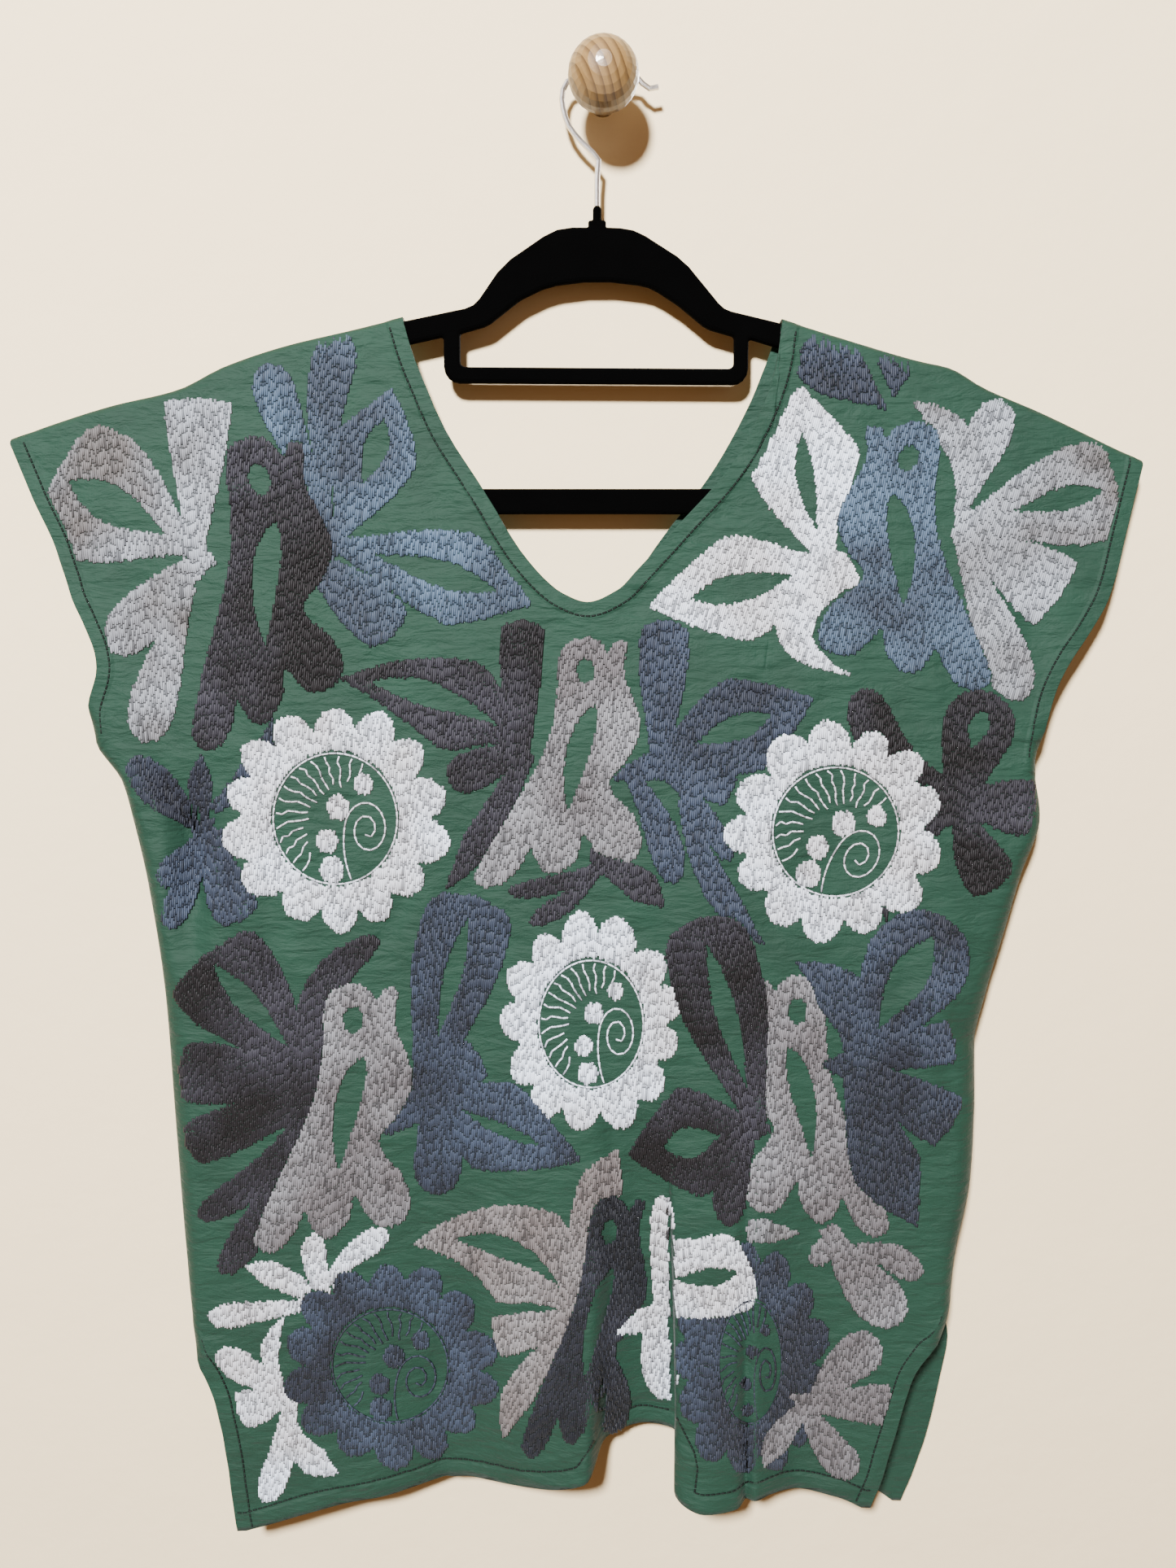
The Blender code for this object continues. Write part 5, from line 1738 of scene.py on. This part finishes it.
def linear(colour: str) -> tuple[float, float, float, float]:
    """Turns an sRGB hex colour to linear.

    Args:
        colour: Such as "#3f7559".

    Returns:
        Red, green, blue and an alpha of 1.
    """
    parts = [int(colour[k : k + 2], 16) / 255 for k in (1, 3, 5)]
    return (*(c / 12.92 if c <= 0.04045 else ((c + 0.055) / 1.055) ** 2.4 for c in parts), 1.0)


def set_inputs(node: bpy.types.Node, inputs: dict) -> None:
    """Sets or links a node's inputs.

    Args:
        node: The node.
        inputs: For each input's name or number, a value or the socket that it is linked from.
    """
    for key, value in inputs.items():
        if isinstance(value, bpy.types.NodeSocket):
            node.id_data.links.new(value, node.inputs[key])
        else:
            node.inputs[key].default_value = value


def add_node(
    tree: bpy.types.NodeTree, kind: str, output: str | int, inputs: dict | None = None, **settings: object
) -> bpy.types.NodeSocket:
    """Adds a node with its settings, values and links.

    Args:
        tree: The material's nodes.
        kind: The node's type without its ShaderNode prefix.
        output: The name or number of the output that is used.
        inputs: For each input's name or number, a value or the socket that it is linked from.
        settings: The node's own properties.

    Returns:
        That output.
    """
    node = tree.nodes.new("ShaderNode" + kind)
    for key, value in settings.items():
        setattr(node, key, value)
    set_inputs(node, inputs or {})
    return node.outputs[output]


def start_material(
    name: str,
) -> tuple[bpy.types.Material, Callable[..., bpy.types.NodeSocket], bpy.types.Node, bpy.types.NodeSocket]:
    """Starts a material.

    Args:
        name: The finish's name.

    Returns:
        The material, add_node for its own nodes, its shader and a socket with places on the object in metres.
    """
    material = bpy.data.materials.new(name)
    material.use_nodes = True
    add = partial(add_node, material.node_tree)
    return material, add, material.node_tree.nodes["Principled BSDF"], add("TexCoord", "Object")


# A wave texture at scale 1 has a band every 314 mm.
WAVE_BAND = 314


def scale_of(size: float) -> float:
    """Turns the size of a pattern's patches, in millimetres, to a noise texture's scale."""
    return 1000 / size


def bands_of(size: float) -> float:
    """Turns the distance from band to band, in millimetres, to a wave texture's scale."""
    return WAVE_BAND / size


# The numbers of a colour Mix node's sockets, whose names its other kinds share.
SHARE, FIRST, SECOND, MIXED = 0, 6, 7, 2


@dataclass(frozen=True)
class RayonCloth:
    """Plain-woven rayon, piece-dyed green and washed soft.

    Washing has dulled the fibre's lustre to a soft, nearly matt face. The dye is a little uneven, the cloth
    is finely crumpled, and the dense stitching gathers it in short level puckers.
    """

    light: str = "#163729"
    deep: str = "#0e281d"
    dye_patch: float = 38.0
    # The real weave is 0.3 mm, and it is drawn at 0.9 mm because a finer one doesn't show.
    weave: float = 0.9
    weave_high: float = 0.08
    # A crumple is this high, this many times as long, and stands this far off the cloth.
    crumple: float = 7.0
    crumple_long: float = 3.2
    crumple_high: float = 3.8
    # A pucker's height along the cloth, that as a share of its length, and how far it stands off.
    pucker: float = 2.6
    pucker_flat: float = 0.3
    pucker_high: float = 2.2
    # The turned hem, the widths on which its edge fades inwards and outwards, and its step.
    hem_band: float = 9.0
    hem_fade: tuple[float, float] = (1.2, 0.4)
    hem_high: float = 0.6
    roughness: float = 0.72
    specular: float = 0.22
    sheen: float = 0.04
    sheen_roughness: float = 0.45

    def material(self) -> bpy.types.Material:
        """Makes the finish.

        Returns:
            The material.
        """
        material, add, shader, places = start_material("dyed_plain_weave_rayon")
        dye = add(
            "TexNoise", "Fac",
            {"Vector": places, "Scale": scale_of(self.dye_patch), "Detail": 3.0, "Roughness": 0.6},
        )
        colour = add(
            "Mix", MIXED,
            {SHARE: dye, FIRST: linear(self.deep), SECOND: linear(self.light)},
            data_type="RGBA",
        )
        across, down = (
            add("TexWave", "Fac", {"Vector": places, "Scale": bands_of(self.weave)}, bands_direction=way)
            for way in ("X", "Z")
        )
        weave = add("Math", 0, {0: across, 1: down}, operation="MULTIPLY")
        stretch = (self.pucker_flat, self.pucker_flat, 1.0)
        level = add("Mapping", "Vector", {"Vector": places, "Scale": stretch, "Rotation": (0.0, -0.1, 0.0)})
        puckers = add(
            "TexNoise", "Fac",
            {"Vector": level, "Scale": scale_of(2 * self.pucker), "Detail": 2.0, "Roughness": 0.5},
        )
        bent = add(
            "Mapping", "Vector",
            {"Vector": places, "Scale": (1.0, 1.0, self.crumple_long), "Rotation": (0.0, 0.12, 0.0)},
        )
        crumples = add(
            "TexNoise", "Fac",
            {"Vector": bent, "Scale": scale_of(self.crumple_long * self.crumple),
             "Detail": 4.0, "Roughness": 0.62, "Distortion": 0.5},
        )
        edge = add("Attribute", "Fac", attribute_name="edge_mm")
        inwards, outwards = self.hem_fade
        band = add(
            "MapRange", "Result",
            {"Value": edge, "From Min": self.hem_band - inwards,
             "From Max": self.hem_band + outwards, "To Min": 1.0, "To Max": 0.0},
        )
        normal = {}
        for height, high, strength in (
            (weave, self.weave_high, 0.5),
            (puckers, self.pucker_high, 0.6),
            (crumples, self.crumple_high, 0.6),
            (band, self.hem_high, 0.8),
        ):
            relief = {"Height": height, "Distance": high * MM, "Strength": strength, **normal}
            normal = {"Normal": add("Bump", "Normal", relief)}
        set_inputs(shader, {
            "Base Color": colour, "Roughness": self.roughness, "Specular IOR Level": self.specular,
            "Sheen Weight": self.sheen, "Sheen Roughness": self.sheen_roughness, **normal,
        })
        return material


@dataclass(frozen=True)
class ViscoseFloss:
    """Space-dyed viscose embroidery floss, loosely twisted.

    Its colour drifts along the thread, so each motif goes from one tone to the next, and its fibres break the
    light in fine streaks along each stitch. Each stitch's tone differs a little at random, and here and there
    a stitch is painted darker as shade between the stitches, most of all the short ones that lie deeper.
    """

    name: str
    pale: str
    deep: str
    drift: float = 30.0
    roughness: float = 0.55
    specular: float = 0.2
    sheen: float = 0.02
    # The brightness at the dark and light ends of the stitches' tone; the dark end is painted shade.
    shade_range: tuple[float, float] = (0.34, 1.1)
    # Real fibres are 0.02 mm: they are drawn as streaks of 0.9 mm, about six times as long.
    fibre: float = 0.9
    fibre_flat: float = 0.16
    fibre_high: float = 0.4

    def material(self) -> bpy.types.Material:
        """Makes the finish.

        Returns:
            The material.
        """
        material, add, shader, places = start_material(self.name)
        drift = add(
            "TexNoise", "Fac",
            {"Vector": places, "Scale": scale_of(2 * self.drift), "Detail": 2.0, "Roughness": 0.5},
        )
        spread = add("MapRange", "Result", {"Value": drift, "From Min": 0.36, "From Max": 0.64})
        tone = add(
            "Mix", MIXED,
            {SHARE: spread, FIRST: linear(self.deep), SECOND: linear(self.pale)},
            data_type="RGBA",
        )
        # The stitches' random tone and painted shade, read from the mesh, darken the thread's colour.
        tone_and_shade = add("Attribute", "Fac", attribute_name="tone_and_shade")
        deepest, highest = self.shade_range
        lighter = add("MapRange", "Result", {"Value": tone_and_shade, "To Min": deepest, "To Max": highest})
        grey = add("CombineColor", "Color", {part: lighter for part in ("Red", "Green", "Blue")})
        colour = add(
            "Mix", MIXED, {SHARE: 1.0, FIRST: tone, SECOND: grey}, data_type="RGBA", blend_type="MULTIPLY",
        )
        long = add("Mapping", "Vector", {"Vector": places, "Scale": (1.0, 1.0, self.fibre_flat)})
        fibres = add(
            "TexNoise", "Fac",
            {"Vector": long, "Scale": scale_of(self.fibre), "Detail": 2.0, "Roughness": 0.6},
        )
        raised = add("Bump", "Normal", {"Height": fibres, "Distance": self.fibre_high * MM, "Strength": 0.6})
        set_inputs(shader, {
            "Base Color": colour, "Normal": raised,
            "Roughness": self.roughness, "Specular IOR Level": self.specular, "Sheen Weight": self.sheen,
        })
        return material


@dataclass(frozen=True)
class FlockedVelvet:
    """Short black nylon flock on moulded plastic: it swallows nearly all light and leaves no highlight."""

    colour: str = "#010101"
    worn: str = "#020202"
    wear_patch: float = 1000 / 60
    nap: float = 0.6
    nap_high: float = 0.4
    roughness: float = 0.95
    specular: float = 0.02

    def material(self) -> bpy.types.Material:
        """Makes the finish.

        Returns:
            The material.
        """
        material, add, shader, places = start_material("black_nylon_flock")
        nap = add("TexNoise", "Fac", {"Vector": places, "Scale": scale_of(self.nap), "Detail": 2.0})
        brushed = add(
            "TexNoise", "Fac", {"Vector": places, "Scale": scale_of(self.wear_patch), "Detail": 2.0}
        )
        colour = add(
            "Mix", MIXED,
            {SHARE: brushed, FIRST: linear(self.colour), SECOND: linear(self.worn)},
            data_type="RGBA",
        )
        raised = add("Bump", "Normal", {"Height": nap, "Distance": self.nap_high * MM, "Strength": 0.7})
        set_inputs(shader, {
            "Base Color": colour, "Normal": raised,
            "Roughness": self.roughness, "Specular IOR Level": self.specular,
        })
        return material


@dataclass(frozen=True)
class ChromedSteel:
    """Drawn steel wire with chrome plating, hazed by fine scratches where it slides on rails and knobs."""

    colour: str = "#cbc8c4"
    scratch: float = 0.7
    bright: float = 0.3
    hazed: float = 0.48

    def material(self) -> bpy.types.Material:
        """Makes the finish.

        Returns:
            The material.
        """
        material, add, shader, places = start_material("chrome_plated_steel")
        scratches = add(
            "TexNoise", "Fac",
            {"Vector": places, "Scale": scale_of(self.scratch), "Detail": 3.0, "Distortion": 1.5},
        )
        dulled = add(
            "MapRange", "Result",
            {"Value": scratches, "From Min": 0.35, "From Max": 0.7, "To Min": self.bright,
             "To Max": self.hazed},
        )
        set_inputs(shader, {"Base Color": linear(self.colour), "Metallic": 1.0, "Roughness": dulled})
        return material


@dataclass(frozen=True)
class OiledPine:
    """Turned pine, sanded and oiled: pale wood with brown late-wood lines in tilted arcs and a soft shine."""

    pale: str = "#80643a"
    late: str = "#3c2612"
    ring: float = 4.2
    # Where the tree's middle lay beside the knob, in metres, and how the knob was cut to the grain.
    heart: tuple[float, float, float] = (0.034, 0.0, 0.026)
    cut: tuple[float, float, float] = (0.14, 0.0, 0.16)
    fibre: float = 1000 / 1400
    fibre_high: float = 0.2
    roughness: float = 0.42
    oil: float = 0.15

    def material(self) -> bpy.types.Material:
        """Makes the finish.

        Returns:
            The material.
        """
        material, add, shader, places = start_material("oiled_pine")
        tilted = add("Mapping", "Vector", {"Vector": places, "Location": self.heart, "Rotation": self.cut})
        rings = add(
            "TexWave", "Fac",
            {"Vector": tilted, "Scale": bands_of(self.ring), "Distortion": 1.6,
             "Detail": 2.0, "Detail Scale": 0.6},
            wave_type="RINGS", rings_direction="Y", wave_profile="SAW",
        )
        fibres = add("TexNoise", "Fac", {"Vector": tilted, "Scale": scale_of(self.fibre), "Detail": 3.0})
        line = add(
            "MapRange", "Result",
            {"Value": rings, "From Min": 0.45, "From Max": 1.0, "To Min": 0.0, "To Max": 0.85},
        )
        colour = add(
            "Mix", MIXED,
            {SHARE: line, FIRST: linear(self.pale), SECOND: linear(self.late)},
            data_type="RGBA",
        )
        raised = add("Bump", "Normal", {"Height": fibres, "Distance": self.fibre_high * MM, "Strength": 0.35})
        set_inputs(shader, {
            "Base Color": colour, "Normal": raised, "Roughness": self.roughness, "Coat Weight": self.oil,
        })
        return material


@dataclass(frozen=True)
class Limewash:
    """Limewash brushed on plaster for the wall: warm, matt and a little uneven.

    It is clear from behind, so that the blouse's back can be seen.
    """

    colour: str = "#f0dcb2"
    patch: float = 1000 / 14
    patch_high: float = 4.0
    roughness: float = 0.95
    specular: float = 0.1

    def material(self) -> bpy.types.Material:
        """Makes the finish.

        Returns:
            The material.
        """
        material, add, shader, places = start_material("limewashed_plaster")
        uneven = add(
            "TexNoise", "Fac",
            {"Vector": places, "Scale": scale_of(self.patch), "Detail": 5.0, "Roughness": 0.6},
        )
        raised = add("Bump", "Normal", {"Height": uneven, "Distance": self.patch_high * MM, "Strength": 0.35})
        set_inputs(shader, {
            "Base Color": linear(self.colour), "Normal": raised,
            "Roughness": self.roughness, "Specular IOR Level": self.specular,
        })
        behind = add("NewGeometry", "Backfacing")
        clear = add("BsdfTransparent", "BSDF")
        mixed = add("MixShader", "Shader", {0: behind, 1: shader.outputs["BSDF"], 2: clear})
        set_inputs(material.node_tree.nodes["Material Output"], {"Surface": mixed})
        return material


@dataclass(frozen=True)
class PaintedScreed:
    """Smooth screed under matt pale paint for the floor: even, quiet and without a highlight."""

    colour: str = "#dcd9d3"
    roughness: float = 0.9

    def material(self) -> bpy.types.Material:
        """Makes the finish.

        Returns:
            The material.
        """
        material, _, shader, _ = start_material("painted_screed")
        set_inputs(shader, {"Base Color": linear(self.colour), "Roughness": self.roughness})
        return material


FLOSSES = {
    Thread.WHITE: ViscoseFloss("white_viscose_floss", "#cad4e1", "#b0b1b5", sheen=0.05),
    Thread.PEARL: ViscoseFloss("pearl_viscose_floss", "#8b9199", "#565352", sheen=0.05),
    Thread.GREY: ViscoseFloss("grey_viscose_floss", "#76777b", "#565355", sheen=0.05),
    Thread.TAUPE: ViscoseFloss("taupe_viscose_floss", "#7a7879", "#5e5857", sheen=0.06),
    Thread.BLUE: ViscoseFloss("slate_blue_viscose_floss", "#45576a", "#2e3642"),
    Thread.SLATE: ViscoseFloss("slate_viscose_floss", "#313a49", "#1e212a"),
    Thread.PLUM: ViscoseFloss("plum_viscose_floss", "#29282f", "#0d0a0c"),
    Thread.DARK: ViscoseFloss("dark_plum_viscose_floss", "#282a33", "#111319"),
    Thread.SEWING: ViscoseFloss("dark_green_cotton_thread", "#0b1712", "#070e0b", roughness=0.7, sheen=0.0),
}


@dataclass
class Blouse:
    """The blouse: two panels, their embroidery and the sewing of their hems.

    Attributes:
        front: The front length.
        back: The back length.
        front_embroidery: The front's motifs.
        back_embroidery: The back's.
        topstitching: The rows that hold the turned hems.
    """

    front: Panel
    back: Panel
    front_embroidery: Embroidery
    back_embroidery: Embroidery
    topstitching: Topstitching = field(default_factory=Topstitching)

    def build(self) -> list[bpy.types.Object]:
        """Makes the blouse's pieces with their finishes, hides the nodes that the panels take the place of,
        and attaches each piece to the root.

        Returns:
            All its pieces.
        """
        cloth = RayonCloth().material()
        threads = {thread: floss.material() for thread, floss in FLOSSES.items()}
        made = []
        for panel, embroidery in ((self.front, self.front_embroidery), (self.back, self.back_embroidery)):
            surface = panel.surface()
            drawing = Drawing(panel, surface)
            sheet = panel.build(surface, cloth)
            stitched = embroidery.build(drawing, surface, threads)
            stitched.append(self.topstitching.build(drawing, surface, threads[Thread.SEWING]))
            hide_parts(panel.replaces)
            for piece in (sheet, *stitched):
                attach(piece, "root")
                made.append(piece)
            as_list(stitched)
        return made


@dataclass
class Hanger:
    """The hanger and the knob, which keep their own shapes and get their finishes.

    Attributes:
        frame_node: The flocked frame.
        hook_node: The wire hook.
        knob_node: The wooden knob.
    """

    frame_node: str = "hanger_frame"
    hook_node: str = "hanger_hook"
    knob_node: str = "wall_knob"

    def dress(self) -> list[bpy.types.Object]:
        """Puts the finishes on the nodes.

        Returns:
            The nodes.
        """
        finishes = {
            self.frame_node: FlockedVelvet().material(),
            self.hook_node: ChromedSteel().material(),
            self.knob_node: OiledPine().material(),
        }
        for node, finish in finishes.items():
            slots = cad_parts[node].data.materials
            slots.clear()
            slots.append(finish)
        return [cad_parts[node] for node in finishes]


@dataclass
class Studio:
    """The plain wall and floor, the soft lights and the camera.

    Attributes:
        wall_half: Half the wall's width.
        wall_top: The wall's top edge.
        wall_behind: How far behind the knob's back face the wall lies, so that the two don't flicker.
        floor_half: Half the floor's width and length.
        floor_z: The floor's height.
        aim: What the lights point to.
    """

    wall_half: float = 1600.0
    wall_top: float = 1100.0
    wall_behind: float = 0.4
    floor_half: tuple[float, float] = (3200.0, 2600.0)
    floor_z: float = -1250.0
    aim: tuple[float, float, float] = (0.0, -20.0, -420.0)

    # Each soft light's name, place, width, watts and colour: a white key from above, a weak cool fill, and
    # one behind that shows the back.
    LIGHTS = (
        ("key", (-500, -2100, 900), 300, 258.0, "#fefdff"),
        ("fill", (1500, -1700, 200), 1600, 2.0, "#f4f6ff"),
        ("back_key", (900, 2000, 700), 700, 110.0, "#fffcf6"),
    )
    # The warm light that the room's own walls would throw back, and its strength.
    ROOM = "#f2b882"
    ROOM_STRENGTH = 0.24

    def plane(self, name: str, corners: list[tuple[float, float, float]], finish: bpy.types.Material) -> None:
        """Makes one flat stage piece.

        Args:
            name: Its name.
            corners: Its four corners.
            finish: Its material.
        """
        thing = make_mesh(name, np.array(corners, float), np.array([[0, 1, 2, 3]]), finish)
        thing.visible_shadow = False
        thing.visible_diffuse = False

    def stage(self) -> None:
        """Makes the wall and the floor."""
        half, low, top, y = self.wall_half, self.floor_z, self.wall_top, self.wall_behind
        wall = [(-half, y, low), (half, y, low), (half, y, top), (-half, y, top)]
        self.plane("stage_wall", wall, Limewash().material())
        wide, deep = self.floor_half
        floor = [(-wide, -deep, low), (wide, -deep, low), (wide, deep, low), (-wide, deep, low)]
        self.plane("stage_floor", floor, PaintedScreed().material())

    def light(
        self, name: str, place: tuple[float, float, float], size: float, power: float, colour: str
    ) -> None:
        """Hangs one soft light that points to the aim.

        Args:
            name: Its name.
            place: Where it is.
            size: Its width.
            power: Its watts.
            colour: Its colour.
        """
        data = bpy.data.lights.new(name, "AREA")
        data.shape = "DISK"
        data.size = size * MM
        data.energy = power
        data.color = linear(colour)[:3]
        lamp = bpy.data.objects.new(name, data)
        start = np.array(place, float)
        way = np.array(self.aim) - start
        yaw = math.atan2(way[1], way[0]) - math.pi / 2
        pitch = math.atan2(way[2], math.hypot(way[0], way[1])) + math.pi / 2
        lamp.location = start * MM
        lamp.rotation_euler = (pitch, 0, yaw)
        bpy.context.scene.collection.objects.link(lamp)

    def lights(self) -> None:
        """Hangs the lights and fills the room."""
        for settings in self.LIGHTS:
            self.light(*settings)
        world = bpy.data.worlds.new("room")
        world.use_nodes = True
        background = world.node_tree.nodes["Background"]
        background.inputs["Color"].default_value = linear(self.ROOM)
        background.inputs["Strength"].default_value = self.ROOM_STRENGTH
        bpy.context.scene.world = world

    def camera(self) -> None:
        """Stands the camera where the front was seen from."""
        data = bpy.data.cameras.new("camera")
        data.sensor_width = SENSOR_WIDTH
        data.lens = CAMERA_FOCAL_PIXELS * SENSOR_WIDTH / PHOTO_TALL_PIXELS
        thing = bpy.data.objects.new("camera", data)
        thing.location = [c * MM for c in CAMERA_PLACE]
        thing.rotation_euler = (math.radians(90 - CAMERA_TIP_DEGREES), 0, 0)
        bpy.context.scene.collection.objects.link(thing)
        bpy.context.scene.camera = thing

    def build(self) -> None:
        """Makes the whole studio."""
        self.camera()
        self.stage()
        self.lights()


def report(pieces: list[bpy.types.Object]) -> None:
    """Logs each piece's size.

    Args:
        pieces: The pieces.
    """
    for piece in pieces:
        corners = np.zeros(len(piece.data.polygons), np.int32)
        piece.data.polygons.foreach_get("loop_total", corners)
        LOG.info("%s: %d triangles", piece.name, corners.sum() - 2 * len(corners))


def main() -> None:
    """Builds everything."""
    logging.basicConfig(level=logging.INFO, format="%(name)s: %(message)s")
    Studio().build()
    blouse = Blouse(
        front=Panel(
            "front_cloth", "front_panel", Side.FRONT, FRONT_FALLS, FRONT_CREASES, NECK_FRONT, LEFT_EDGE,
            RIGHT_EDGE, FRONT_DEPTH,
        ),
        back=Panel(
            "back_cloth", "back_panel", Side.BACK, BACK_FALLS, BACK_CREASES, NECK_BACK,
            edge_with_slit(LEFT_EDGE, BACK_LEFT_SLIT), edge_with_slit(RIGHT_EDGE, BACK_RIGHT_SLIT),
            BACK_DEPTH,
        ),
        front_embroidery=Embroidery(FRONT_MOTIFS),
        back_embroidery=Embroidery([turned_over(motif) for motif in FRONT_MOTIFS], spacing=1.45, stitch=6.2),
    )  # fmt: skip
    report(blouse.build() + Hanger().dress())


if __name__ == "__main__":
    main()
